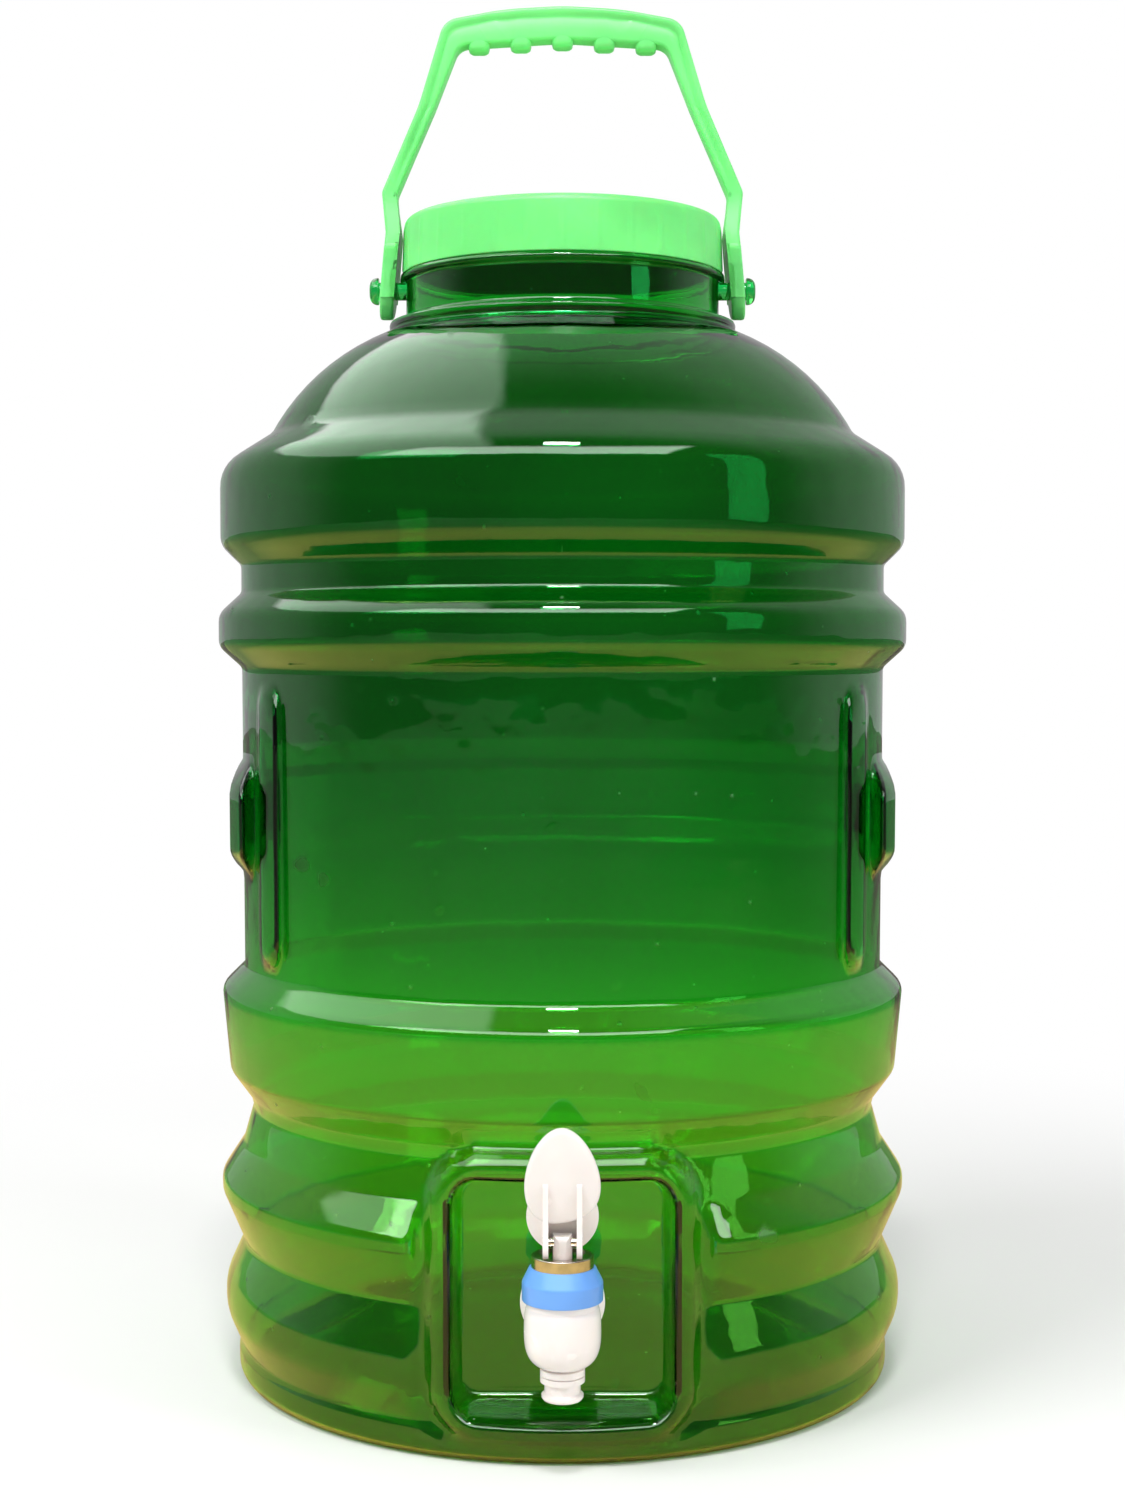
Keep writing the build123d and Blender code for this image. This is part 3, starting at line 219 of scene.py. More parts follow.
def shell(points, round_rows=False, cap_first=False, cap_last=False):
    """Vertices and faces of a grid of points whose columns close on themselves. Its rows close too,
    or its first or last row closes on the middle of that row. Faces look out of the shape: they are
    turned over if the volume under them comes out negative."""
    rows, columns = points.shape[:2]
    index = np.arange(rows * columns).reshape(rows, columns)
    right = np.roll(index, -1, axis=1)
    low, low_right = (index, right) if round_rows else (index[:-1], right[:-1])
    high = np.roll(index, -1, axis=0) if round_rows else index[1:]
    high_right = np.roll(right, -1, axis=0) if round_rows else right[1:]
    quads = np.stack([low, low_right, high_right, high], axis=-1).reshape(-1, 4)
    vertices, fans = points.reshape(-1, 3), np.zeros((0, 3), int)
    for row, wanted in ((0, cap_first), (-1, cap_last)):
        if wanted:
            tip = np.full(columns, len(vertices))
            vertices = np.vstack([vertices, points[row].mean(axis=0)])
            pair = (right[row], index[row]) if row == 0 else (index[row], right[row])
            fans = np.vstack([fans, np.stack([*pair, tip], axis=-1)])
    corners = np.vstack([quads[:, [0, 1, 2]], quads[:, [0, 2, 3]], fans])
    a, b, c = (vertices[corners[:, i]] for i in range(3))
    if np.sum(a * np.cross(b, c)) < 0:
        quads, fans = quads[:, ::-1], fans[:, ::-1]
    return vertices, [*quads.tolist(), *fans.tolist()]


def piece(name, parts, material, body, sharp=None, facing=False):
    """A mesh object from one or more shells in millimetres, riding on a body of the frame. With
    facing, each vertex stores how far its normal looks down, from 0 to 1, as the attribute under."""
    vertices, faces, start = [], [], 0
    for points, indices in parts:
        vertices.append(points)
        faces += [[i + start for i in face] for face in indices]
        start += len(points)
    mesh = bpy.data.meshes.new(name)
    mesh.from_pydata(np.vstack(vertices) * MM, [], faces)
    mesh.polygons.foreach_set("use_smooth", np.ones(len(mesh.polygons), bool))
    if sharp is not None:
        mesh.set_sharp_from_angle(angle=math.radians(sharp))
    mesh.materials.append(material)
    if facing:
        normals = np.zeros(3 * len(mesh.vertices))
        mesh.vertex_normals.foreach_get("vector", normals)
        under = mesh.attributes.new("under", "FLOAT", "POINT")
        under.data.foreach_set("value", np.clip(-normals[2::3], 0.0, 1.0))
    made = bpy.data.objects.new(name, mesh)
    bpy.context.scene.collection.objects.link(made)
    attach(made, body)
    return made


# Materials


class Wire:
    """One output socket of a material. Python's operators on it add Math nodes."""

    def __init__(self, paint, socket):
        self.paint, self.socket = paint, socket

    def math(self, operation, *others):
        return self.paint.node(
            "ShaderNodeMath", {"operation": operation},
            {i: v for i, v in enumerate((self, *others))})

    def __add__(self, other):
        return self.math("ADD", other)

    def __sub__(self, other):
        return self.math("SUBTRACT", other)

    def __mul__(self, other):
        return self.math("MULTIPLY", other)

    def __rsub__(self, other):
        return (self * -1.0) + other

    __radd__, __rmul__ = __add__, __mul__

    def over(self, low, high):
        """0 below low and 1 above high, smooth in between."""
        return self.paint.node(
            "ShaderNodeMapRange", {"interpolation_type": "SMOOTHSTEP"},
            {"Value": self, "From Min": low, "From Max": high})


class Paint:
    """A material with one Principled shader, built from nodes."""

    def __init__(self, name, **constants):
        self.material = bpy.data.materials.new(name)
        self.material.use_nodes = True
        self.tree = self.material.node_tree
        self.shader = self.tree.nodes["Principled BSDF"]
        for socket, value in constants.items():
            self.set(socket.replace("_", " "), value)

    def node(self, kind, settings=None, inputs=None, output=0):
        """Adds a node: first its settings, then the values or links of its sockets."""
        made = self.tree.nodes.new(kind)
        for key, value in (settings or {}).items():
            setattr(made, key, value)
        for key, value in (inputs or {}).items():
            if isinstance(value, Wire):
                self.tree.links.new(value.socket, made.inputs[key])
            else:
                made.inputs[key].default_value = value
        return Wire(self, made.outputs[output])

    def set(self, socket, value):
        """Gives one socket of the shader a value or a link."""
        if isinstance(value, Wire):
            self.tree.links.new(value.socket, self.shader.inputs[socket])
        else:
            self.shader.inputs[socket].default_value = value

    def place(self, scale=(1.0, 1.0, 1.0), turn=(0.0, 0.0, 0.0)):
        """Object coordinates, turned and scaled."""
        here = self.node("ShaderNodeTexCoord", output="Object")
        return self.node("ShaderNodeMapping", {}, {"Vector": here, "Rotation": turn, "Scale": scale})

    def noise(self, scale, detail=2.0, stretch=(1.0, 1.0, 1.0), turn=(0.0, 0.0, 0.0)):
        """Soft clouds from 0 to 1, this many to a metre, stretched and turned."""
        return self.node("ShaderNodeTexNoise", {}, {
            "Vector": self.place(stretch, turn), "Scale": scale, "Detail": detail}, output="Fac")

    def specks(self, scale, size, share):
        """Small round spots: the cells of a Voronoi pattern whose own number is over 1 - share."""
        inputs = {"Vector": self.place(), "Scale": scale}
        near = self.node("ShaderNodeTexVoronoi", {}, inputs, output="Distance")
        tint = self.node("ShaderNodeTexVoronoi", {}, inputs, output="Color")
        chosen = self.node("ShaderNodeSeparateColor", {}, {"Color": tint}).over(
            1.0 - share, 1.0 - share * 0.6)
        return (1.0 - near.over(size * 0.4, size)) * chosen

    def mix(self, amount, one, two):
        """Between two colours."""
        made = self.tree.nodes.new("ShaderNodeMix")
        made.data_type = "RGBA"
        for key, value in ((0, amount), (6, one), (7, two)):
            if isinstance(value, Wire):
                self.tree.links.new(value.socket, made.inputs[key])
            else:
                made.inputs[key].default_value = value if key == 0 else (*value[:3], 1.0)
        return Wire(self, made.outputs[2])

    def bump(self, height, distance):
        """Height in units of the distance, in metres, as a Normal."""
        self.set("Normal", self.node("ShaderNodeBump", {}, {
            "Height": height, "Distance": distance, "Strength": 1.0}))


def shade(colour, amount):
    """A colour made lighter or darker by a factor."""
    return tuple(min(1.0, c * amount) for c in colour[:3])


def clear_plastic(look):
    """Clear green blow-moulded plastic: a stronger, bluer green above and a paler, yellower one at the
    foot, a height gradient of painted light and shade; a lighter neck, which is painted light; a
    painted reflection of warm, sunlit ground on faces that look down; faint flow streaks, small
    scratches and specks of dust."""
    paint = Paint(
        "clear green plastic", Transmission_Weight=1.0, IOR=look.ior, Specular_IOR_Level=0.5)
    height = paint.node("ShaderNodeSeparateXYZ", {}, {"Vector": paint.place()}, output="Z")
    streaks = paint.noise(7.0, 4.0, (1.0, 1.0, 0.35))
    clouds = paint.noise(3.0, 3.0)
    # Painted light and shade: the foot is paler and yellower, as if lit from sunlit ground, and the
    # wall above darker and bluer.
    low = 1.0 - (height + clouds * 0.08 - 0.04).over(0.07, 0.235)
    tone = paint.mix(streaks.over(0.4, 0.7), look.upper, shade(look.upper, 1.35))
    tone = paint.mix(low, tone, look.lower)
    # Painted light: the neck is made lighter, as if lit through from behind.
    tone = paint.mix(height.over(0.408, 0.416) * 0.8, tone, shade(look.upper, 2.4))
    # Painted reflection: faces that look down take the warm tone of sunlit ground.
    under = paint.node("ShaderNodeAttribute", {"attribute_name": "under"}, output="Fac")
    tone = paint.mix(under.over(0.12, 0.6) * (0.6 + low * 0.3), tone, look.ground)
    dust = paint.specks(150.0, 0.16, 0.05)
    scratch = paint.noise(60.0, 2.0, (1.0, 0.08, 1.0), (0.5, 0.3, 0.9)).over(0.69, 0.74)
    scratch = scratch * paint.noise(9.0).over(0.52, 0.62)
    tone = paint.mix(dust * 0.6, tone, DUST)
    paint.set("Base Color", tone)
    paint.set("Roughness", dust * 0.3 + scratch * 0.25 + look.roughness)
    waves = paint.noise(22.0, 2.0) + paint.noise(75.0, 1.0) * 0.16
    paint.bump(waves + scratch * 0.08 + dust * 0.1, look.waviness)
    return paint.material


def moulded_plastic(name, colour, roughness, grain=260.0, depth=0.00005, pale=1.12, soft=0.0):
    """Satin moulded plastic: a little lighter and darker in clouds, finely grained, scuffed."""
    paint = Paint(name, Subsurface_Weight=soft, Subsurface_Scale=0.004, IOR=1.49)
    clouds = paint.noise(28.0, 3.0)
    scuffs = paint.noise(95.0, 3.0, (1.0, 0.25, 1.0), (0.3, 0.6, 0.2)).over(0.62, 0.72)
    tone = paint.mix(clouds.over(0.35, 0.7), shade(colour, 0.93), shade(colour, pale))
    paint.set("Base Color", paint.mix(scuffs * 0.25, tone, shade(colour, pale * 1.08)))
    paint.set("Roughness", clouds * 0.1 + scuffs * 0.12 + (roughness - 0.05))
    paint.bump(paint.noise(grain, 2.0) + scuffs * 0.4, depth)
    return paint.material


def pressed_steel(name, colour, roughness):
    """Pressed steel: fine rings round the tap's axis, and stains."""
    paint = Paint(name, Metallic=1.0)
    to_middle = [-(a + b) / 2 for a, b in zip(*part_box("tap_cap"))]
    here = paint.node("ShaderNodeTexCoord", output="Object")
    moved = paint.node("ShaderNodeMapping", {}, {"Vector": here, "Location": to_middle})
    flat = paint.node("ShaderNodeVectorMath", {"operation": "MULTIPLY"}, {
        0: moved, 1: (1.0, 1.0, 0.0)})
    reach = paint.node("ShaderNodeVectorMath", {"operation": "LENGTH"}, {0: flat}, output="Value")
    rings = (reach * 9000.0).math("SINE")
    stains = paint.noise(160.0, 3.0)
    paint.set("Base Color", paint.mix(stains.over(0.35, 0.75), colour, shade(colour, 0.72)))
    paint.set("Roughness", stains * 0.16 + roughness)
    paint.bump(rings * 0.4 + stains, 0.00002)
    return paint.material


def soft_rubber(name, colour, roughness):
    """Seals and foam: matt, with a fine open grain."""
    paint = Paint(name, IOR=1.43)
    grain = paint.noise(420.0, 3.0)
    paint.set("Base Color", paint.mix(grain.over(0.3, 0.7), shade(colour, 0.9), colour))
    paint.set("Roughness", grain * 0.2 + roughness)
    paint.bump(grain, 0.00008)
    return paint.material


def dress(material, *names):
    """Gives carried-over nodes of the frame this material, without touching their meshes."""
    for name in names:
        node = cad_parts[name]
        if node.material_slots:
            node.material_slots[0].material = material
        else:
            node.data.materials.append(material)


# Sizes and colours that a user may change


class JarLook(bpy.types.PropertyGroup):
    wall: FloatProperty(
        name="Wall", description="Thickness of the clear wall", default=0.0014, min=0.0008,
        max=0.003, unit="LENGTH", precision=4)
    # The upper and lower colours differ by painted light and shade: bluer and darker above, paler and
    # yellower at the foot, as if lit from sunlit ground.
    upper: FloatVectorProperty(
        name="Upper colour", description="Tint of the wall above the tap", size=3,
        default=(0.008, 0.34, 0.06), min=0.0, max=1.0, subtype="COLOR")
    lower: FloatVectorProperty(
        name="Lower colour", description="Tint of the wall at the foot", size=3,
        default=(0.15, 0.68, 0.075), min=0.0, max=1.0, subtype="COLOR")
    # Ground glow is a painted reflection of sunlit ground, laid on faces that look down.
    ground: FloatVectorProperty(
        name="Ground glow", description="Tint of the faces that look down at sunlit ground", size=3,
        default=(0.52, 0.50, 0.10), min=0.0, max=1.0, subtype="COLOR")
    ior: FloatProperty(
        name="Refraction", description="Index of refraction of the plastic", default=1.52,
        min=1.3, max=1.8)
    roughness: FloatProperty(
        name="Roughness", description="Roughness of the clean wall", default=0.025, min=0.0,
        max=1.0, subtype="FACTOR")
    waviness: FloatProperty(
        name="Waviness", description="Height of the blown wall's waves", default=0.0006, min=0.0,
        max=0.003, unit="LENGTH", precision=4)


class LidLook(bpy.types.PropertyGroup):
    ribs: IntProperty(
        name="Ribs", description="Grip ribs round the skirt", default=30, min=0, max=90)
    proud: FloatProperty(
        name="Rib height", description="How far the ribs stand out", default=0.00035, min=0.0,
        max=0.001, unit="LENGTH", precision=5)
    colour: FloatVectorProperty(
        name="Colour", description="Colour of the lid and the handle", size=3,
        default=(0.17, 0.76, 0.20), min=0.0, max=1.0, subtype="COLOR")


class HandleLook(bpy.types.PropertyGroup):
    groove: FloatProperty(
        name="Groove", description="Depth of the groove inside the rim", default=0.0012, min=0.0,
        max=0.004, unit="LENGTH", precision=4)
    edge: FloatProperty(
        name="Edge", description="Rounding of the long edges", default=0.0013, min=0.0003,
        max=0.002, unit="LENGTH", precision=4)
    bumps: IntProperty(
        name="Bumps", description="Finger bumps under the grip", default=5, min=0, max=9)


class TapLook(bpy.types.PropertyGroup):
    white: FloatVectorProperty(
        name="White", description="Colour of the barrel and the lever", size=3,
        default=(0.86, 0.80, 0.77), min=0.0, max=1.0, subtype="COLOR")
    collar: FloatVectorProperty(
        name="Collar", description="Colour of the ring cap", size=3,
        default=(0.13, 0.33, 0.76), min=0.0, max=1.0, subtype="COLOR")
    steel: FloatVectorProperty(
        name="Steel", description="Colour of the pressed cap and the pin", size=3,
        default=(0.62, 0.55, 0.49), min=0.0, max=1.0, subtype="COLOR")


class StudioLook(bpy.types.PropertyGroup):
    lens: FloatProperty(name="Lens", description="Focal length", default=55.0, min=10.0, max=300.0)
    distance: FloatProperty(
        name="Distance", description="From the jar's axis to the camera", default=0.9184,
        min=0.2, max=5.0, unit="LENGTH")
    height: FloatProperty(
        name="Height", description="Height of the camera over the floor", default=0.2869,
        min=0.0, max=3.0, unit="LENGTH")
    pitch: FloatProperty(
        name="Pitch", description="How far the camera looks down", default=math.radians(2.593),
        min=-1.5, max=1.5, unit="ROTATION")
    floor: FloatVectorProperty(
        name="Floor", description="Colour of the floor", size=3, default=(0.88, 0.88, 0.87),
        min=0.0, max=1.0, subtype="COLOR")


# Jar


def wall_profile():
    """Radius and height of the jar's outside, from the middle of the underside to the mouth: the
    rounded corners of the wall, the dome's arc, and the rounded corners of the neck."""
    side = corner_curve(UNDERSIDE_MIDDLE, WALL_CORNERS, CREASE).reshape(-1, 2)
    start, stop = (math.atan2(z - DOME_CENTRE[1], r - DOME_CENTRE[0]) for r, z in (CREASE, DOME_TOP))
    angle = np.linspace(start, stop, 60)[1:-1, None]
    dome = DOME_CENTRE + DOME_RADIUS * np.concatenate([np.cos(angle), np.sin(angle)], axis=1)
    neck = corner_curve(DOME_TOP, NECK_CORNERS, (MOUTH_RADIUS, MOUTH_HEIGHT)).reshape(-1, 2)
    return distinct(np.vstack([side, dome, neck]))


def wall_rows(count):
    """Stations up the profile: one for each 9 degrees of turning, one for each 6 mm, and more at
    the heights of the pocket's upper and lower edge and of the middle ring's flanks."""
    path = wall_profile()
    step = np.diff(path, axis=0)
    length = np.concatenate([[0.0], np.cumsum(np.linalg.norm(step, axis=1))])
    heading = np.unwrap(np.arctan2(step[:, 1], step[:, 0]))
    bend = np.abs(np.diff(heading)) / ((length[2:] - length[:-2]) / 2)
    bend = np.convolve(np.concatenate([[0.0], bend, [0.0]]), np.ones(5) / 5, "same")
    height = path[:, 1]
    density = 1 / 6 + np.minimum(bend / math.radians(9), 1.6)
    outside = path[:, 0] > 110
    density = density + outside * (window(height, 13.5, 24, 0.9) + window(height, 93, 103.5, 0.9))
    density = density + window(height, 196, 213, 0.55) + window(height, 228, 245, 0.55)
    where = stations(length, density, count)
    return np.interp(where, length, path[:, 0]), np.interp(where, length, height)


def wall_columns(count):
    """Azimuths in radians, closer together at the pocket, the frame, the ribs and the ring's ends."""
    angle = np.linspace(-180.0, 180.0, 7201)
    side = np.abs(angle)
    density = 0.36 + window(side, 13.6, 18.2, 2.6) + window(side, 18.2, 26, 0.7)
    density += window(side, 53.2, 57.2, 1.5) + window(side, 62.8, 67.0, 1.5)
    density += window(side, 67.0, 71.4, 1.5)
    return np.radians(stations(angle, density, count + 1)[:-1])


def middle_ring_rise(height):
    """How far the middle ring stands out of the wall at this height, by its rounded section."""
    low, crest_low, crest_high, high, radius, size = MIDDLE_RING
    wall = (WALL_LOW + WALL_HIGH) / 2
    path = corner_curve(
        (wall, low - 4), [(wall, low, 3.0), (radius, crest_low, size), (radius, crest_high, size),
                          (wall, high, 3.0)], (wall, high + 4)).reshape(-1, 2)
    return np.interp(height, path[:, 1], path[:, 0] - wall, left=0.0, right=0.0)


def pocket_share(past):
    """How far out the wall lies between the pocket's floor, 0, and the frame, 1, at a distance from
    the edge of the floor: a drafted wall with a rounded foot and a rounder rim."""
    depth = FRAME_RADIUS - POCKET_FACE
    out = depth * math.tan(POCKET_DRAFT)
    path = corner_curve((-9.0, 0.0), [
        (0.0, 0.0, POCKET_FOOT), (out, depth, POCKET_RIM)], (out + 9.0, depth)).reshape(-1, 2)
    return np.interp(past, path[:, 0], path[:, 1] / depth)


def side_relief(r, z, side):
    """The round wall's radius with the middle ring, whose ends fall off in soft slopes, and the
    upright ribs on it, by the azimuth from the front in degrees."""
    beyond = np.radians(MIDDLE_RING_AZIMUTH - side) * WALL_HIGH
    ring = middle_ring_rise(z) * (1 - smoothstep(-2.0, 10.0, beyond))
    rib_box = (RIB_WIDTH, RIB_LOW, RIB_HIGH, RIB_WIDTH / 2 - 0.01)
    depth = -box_distance(np.radians(side - RIB_AZIMUTH) * WALL_HIGH, z, rib_box)
    rib = (RIB_RADIUS - r) * smoothstep(0.0, RIB_SLOPE, depth)
    panel = (r > 120) & (z > 150) & (z < 300)
    return r + panel * np.maximum(ring, rib)


def front_relief(r, x, z, front):
    """The radius at the front: the lowest rings run out beside the frame, and the frame, with its
    rounded edge, is joined to the wall by a soft maximum."""
    run_out = 1 - smoothstep(-5.0, 6.0, box_distance(x, z, RING_END_BOX))
    r = r + front * run_out * np.minimum(RING_END_RADIUS - r, 0.0)
    inside = -box_distance(x, z, FRAME_BOX)
    edge = FRAME_ROUND - np.clip(inside, 0.0, FRAME_ROUND)
    raised = FRAME_RADIUS - FRAME_ROUND + np.sqrt(FRAME_ROUND ** 2 - edge ** 2)
    raised = raised + np.minimum(inside, 0.0) * FRAME_FALL
    return np.where(front > 0, soft_max(r, raised, 3.0) * front + r * (1 - front), r)


def wall_surface(radius, height, azimuth):
    """The jar's outside on a grid of rows and azimuths: the round wall with the relief at its sides
    and its front, and the pocket, which takes a share of the depth from the frame to its floor by
    the distance from its edge. Front is 1 round the frame and falls to 0 beside and above it."""
    r = radius[:, None] + 0.0 * azimuth
    z = height[:, None] + 0.0 * azimuth
    side = np.degrees(np.abs(azimuth))[None, :]
    front = (1 - smoothstep(26.0, 42.0, side)) * smoothstep(0.5, 7.0, z) * (
        1 - smoothstep(112.0, 128.0, z))
    front = front * (r > 110)
    x = np.sin(azimuth) * (FRONT_RADIUS * front + r * (1 - front))
    r = front_relief(side_relief(r, z, side), x, z, front)
    out = np.sqrt(np.maximum(r ** 2 - x ** 2, 0.0))
    share = pocket_share(box_distance(x, z, POCKET_BOX))
    out = np.where(front > 0.99, POCKET_FACE + (out - POCKET_FACE) * share, out)
    y = np.where(np.abs(azimuth) > math.pi / 2, out, -out)
    return np.stack([x, y, z], axis=-1)


def inner_skin(points, height, wall):
    """The inside of the wall: each point moved in along the surface's normal, and a plain cylinder
    inside the neck."""
    up = np.gradient(points, axis=0)
    around = (np.roll(points, -1, axis=1) - np.roll(points, 1, axis=1)) / 2
    normal = np.cross(around, up)
    normal /= np.maximum(np.linalg.norm(normal, axis=2, keepdims=True), 1e-9)
    normal[0] = (0.0, 0.0, -1.0)
    inner = points - wall * normal
    neck = smoothstep(405.0, 411.0, height)[:, None, None]
    flat = np.hypot(points[..., 0], points[..., 1])[..., None]
    bore = points.copy()
    bore[..., :2] = points[..., :2] / np.maximum(flat, 1e-9) * MOUTH_RADIUS
    return inner * (1 - neck) + bore * neck


def jar_shell(wall):
    """The whole clear wall, outside and inside, as one closed skin round the mouth's rim."""
    radius, height = wall_rows(WALL_ROWS)
    outside = wall_surface(radius, height, wall_columns(WALL_COLUMNS))
    inside = inner_skin(outside, height, wall / MM)
    return shell(np.concatenate([outside[1:], inside[::-1][:-1]]), cap_first=True, cap_last=True)


def stud_shell(side):
    """One stud with its mushroom head: a rounded profile turned about a line along X."""
    path = corner_curve((0.0, STUD_START), STUD_CORNERS, (0.0, STUD_TIP)).reshape(-1, 2)
    path = distinct(path[1:-1])
    angle = np.linspace(0, 2 * math.pi, 40, endpoint=False)
    reach = path[:, :1]
    points = np.stack([
        side * (path[:, 1:] + 0 * angle), reach * np.cos(angle),
        STUD_HEIGHT + reach * np.sin(angle)], axis=-1)
    return shell(points, cap_first=True, cap_last=True)


class JAR_OT_wall(bpy.types.Operator):
    """Builds the jar's clear wall with its rings, ribs, frame, pocket, neck and studs"""

    bl_idname = "jar.wall"
    bl_label = "Jar wall"

    def execute(self, context):
        look = context.scene.jar_look
        jar = piece(
            "jar_wall", [jar_shell(look.wall), stud_shell(1), stud_shell(-1)],
            clear_plastic(look), "jar", facing=True)
        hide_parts("jar_body")
        return {"FINISHED"}


# Lid


class JAR_OT_lid(bpy.types.Operator):
    """Builds the ribbed screw lid and gives its liner a finish"""

    bl_idname = "jar.lid"
    bl_label = "Lid"

    def execute(self, context):
        look = context.scene.lid_look
        lid = piece("screw_lid", [lid_shell(look)], moulded_plastic(
            "light green plastic of the lid", look.colour, 0.36, soft=0.5), "lid", sharp=50)
        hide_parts("lid")
        dress(soft_rubber("foam liner", FOAM_WHITE, 0.7), "lid_liner")
        return {"FINISHED"}


def lid_shell(look):
    """The lid: a closed profile turned about Z, with narrow round ribs on the skirt's outside. A
    rib's rise is a raised cosine of the azimuth, cut off outside the rib's own width."""
    path = corner_curve((0.0, LID_TOP), LID_CORNERS, (0.0, LID_CEILING)).reshape(-1, 2)
    path = distinct(path[1:-1])
    azimuth = np.linspace(0, 2 * math.pi, 12 * max(look.ribs, 24), endpoint=False)
    radius, height = path[:, :1] + 0 * azimuth, path[:, 1:] + 0 * azimuth
    pitch = 2 * math.pi / max(look.ribs, 1)
    arc = ((azimuth / pitch + 0.5) % 1.0 - 0.5) * pitch * LID_RIB_RADIUS
    rib = np.where(np.abs(arc) < LID_RIB_HALF, (1 + np.cos(arc / LID_RIB_HALF * math.pi)) / 2, 0.0)
    rib = rib * (look.ribs > 0)
    skirt = smoothstep(*LID_SKIRT_LOW, height) * (1 - smoothstep(*LID_SKIRT_HIGH, height))
    skirt = skirt * (radius > 62.2)
    return shell(turned(radius + skirt * rib * look.proud / MM, height, azimuth),
                 cap_first=True, cap_last=True)


# Handle


def both_sides(corners):
    """The corners of the left half, mirrored from those of the right, and then of the right half."""
    return [(-x, z, size) for x, z, size in corners] + corners[-2::-1]


def handle_depth(height):
    """Half the handle's depth along Y, widening to the eye's radius below the kink in the arm."""
    widening = EYE_RADIUS - HANDLE_HALF_DEPTH
    return HANDLE_HALF_DEPTH + widening * (1 - smoothstep(437.0, 468.0, height))


def handle_bar(look):
    """The grip and both arms: a section carried along the handle. Each of its points lies at a
    distance from the outer edge towards the inner one, and at a height over the middle plane: a
    rounded edge, a rim, a groove that fades out towards the arm's kink, a flat web and a rounded
    edge."""
    left = [(-x, z) for x, z in (OUTER_END, INNER_END)]
    outer = corner_curve(left[0], both_sides(OUTER_EDGE), OUTER_END, 7, 12).reshape(-1, 2)
    inner = corner_curve(left[1], both_sides(INNER_EDGE), INNER_END, 7, 12).reshape(-1, 2)
    across = inner - outer
    width = np.linalg.norm(across, axis=1, keepdims=True)
    across = across / width
    height = (outer[:, 1:] + inner[:, 1:]) / 2
    depth = handle_depth(height)
    edge, groove = look.edge / MM, look.groove / MM
    grooved = smoothstep(466.0, 482.0, height)
    web = depth * (1 - 0.1 * grooved)
    cut = depth - groove * grooved
    turn = np.linspace(0, math.pi / 2, 6)[None, :]
    rim = HANDLE_RIM + 0.5 * (1 - grooved)
    near = np.concatenate([
        edge * (1 - np.sin(turn[:, ::-1])) + 0 * width,
        rim - 0.9, rim - 0.2, rim + 0.7, rim + 1.9,
        width - edge * (1 - np.sin(turn))], axis=1)
    rise = np.concatenate([
        depth - edge * (1 - np.cos(turn[:, ::-1])),
        depth - 0.02, depth - 0.7 * (depth - cut), cut, web,
        web - edge * (1 - np.cos(turn))], axis=1)
    reach = np.concatenate([near, near[:, ::-1]], axis=1)
    deep = np.concatenate([-rise, rise[:, ::-1]], axis=1)
    x = outer[:, :1] + across[:, :1] * reach
    z = outer[:, 1:] + across[:, 1:] * reach
    return shell(np.stack([x, deep, z], axis=-1), cap_first=True, cap_last=True)


def eye_plate(side):
    """One eye at the foot of an arm: a plate between the keyhole's outline and the outer outline,
    each given as a distance from the plate's middle at every angle, with rounded edges."""
    middle = STUD_HEIGHT + 3.3
    angle = np.linspace(0, 2 * math.pi, 96, endpoint=False)
    dy, dz = np.cos(angle), np.sin(angle)

    def circle(radius, height):
        """Distance to a circle's far side along each ray."""
        along = dz * (height - middle)
        return along + np.sqrt(np.maximum(along ** 2 - (height - middle) ** 2 + radius ** 2, 0.0))

    def box(half, low, high):
        """Distance to a box's side along each ray."""
        ends = np.where(dz > 0, high - middle, middle - low) / np.maximum(np.abs(dz), 1e-6)
        return np.minimum(half / np.maximum(np.abs(dy), 1e-6), ends)

    head_hole = STUD_HEIGHT + HEAD_HOLE_RISE
    hole = np.maximum(circle(SLOT_RADIUS, STUD_HEIGHT), circle(HEAD_HOLE_RADIUS, head_hole))
    hole = np.maximum(hole, box(SLOT_HALF, STUD_HEIGHT, head_hole))
    rim = np.maximum(circle(EYE_RADIUS, STUD_HEIGHT), box(EYE_RADIUS, STUD_HEIGHT, EYE_TOP))
    share = np.array([0.0, 0.12, 0.5, 0.88, 0.96, 1.0, 1.0, 0.96, 0.88, 0.5, 0.12, 0.0])[:, None]
    across = np.array([1.0, 1.0, 1.0, 1.0, 0.9, 0.6, -0.6, -0.9, -1.0, -1.0, -1.0, -1.0])[:, None]
    reach = hole + (rim - hole) * share
    z = middle + reach * dz
    lean = np.interp(z, [416.0, 449.6], [72.5, 69.6])
    x = lean + (across - 1.0) * EYE_HALF_THICK
    return shell(np.stack([side * x, reach * dy + 0 * z, z], axis=-1), round_rows=True)


def finger_bump(x):
    """One finger bump: a soft-cornered block, the superellipsoid |a|^4 + |b|^4 + |c|^4 = 1."""
    u = np.linspace(-math.pi / 2, math.pi / 2, 14)[1:-1, None]
    v = np.linspace(-math.pi, math.pi, 36, endpoint=False)[None, :]
    a, b, c = np.cos(u) * np.cos(v), np.cos(u) * np.sin(v), np.sin(u) + 0 * v
    size = (a ** 4 + b ** 4 + c ** 4) ** -0.25
    low = GRIP_LOW - abs(x) / GRIP_HALF * GRIP_SAG
    wide, deep, high = BUMP_HALF_SIZE
    points = np.stack([
        x + wide * a * size, deep * b * size, low + 0.3 + high * c * size], axis=-1)
    return shell(points, cap_first=True, cap_last=True)


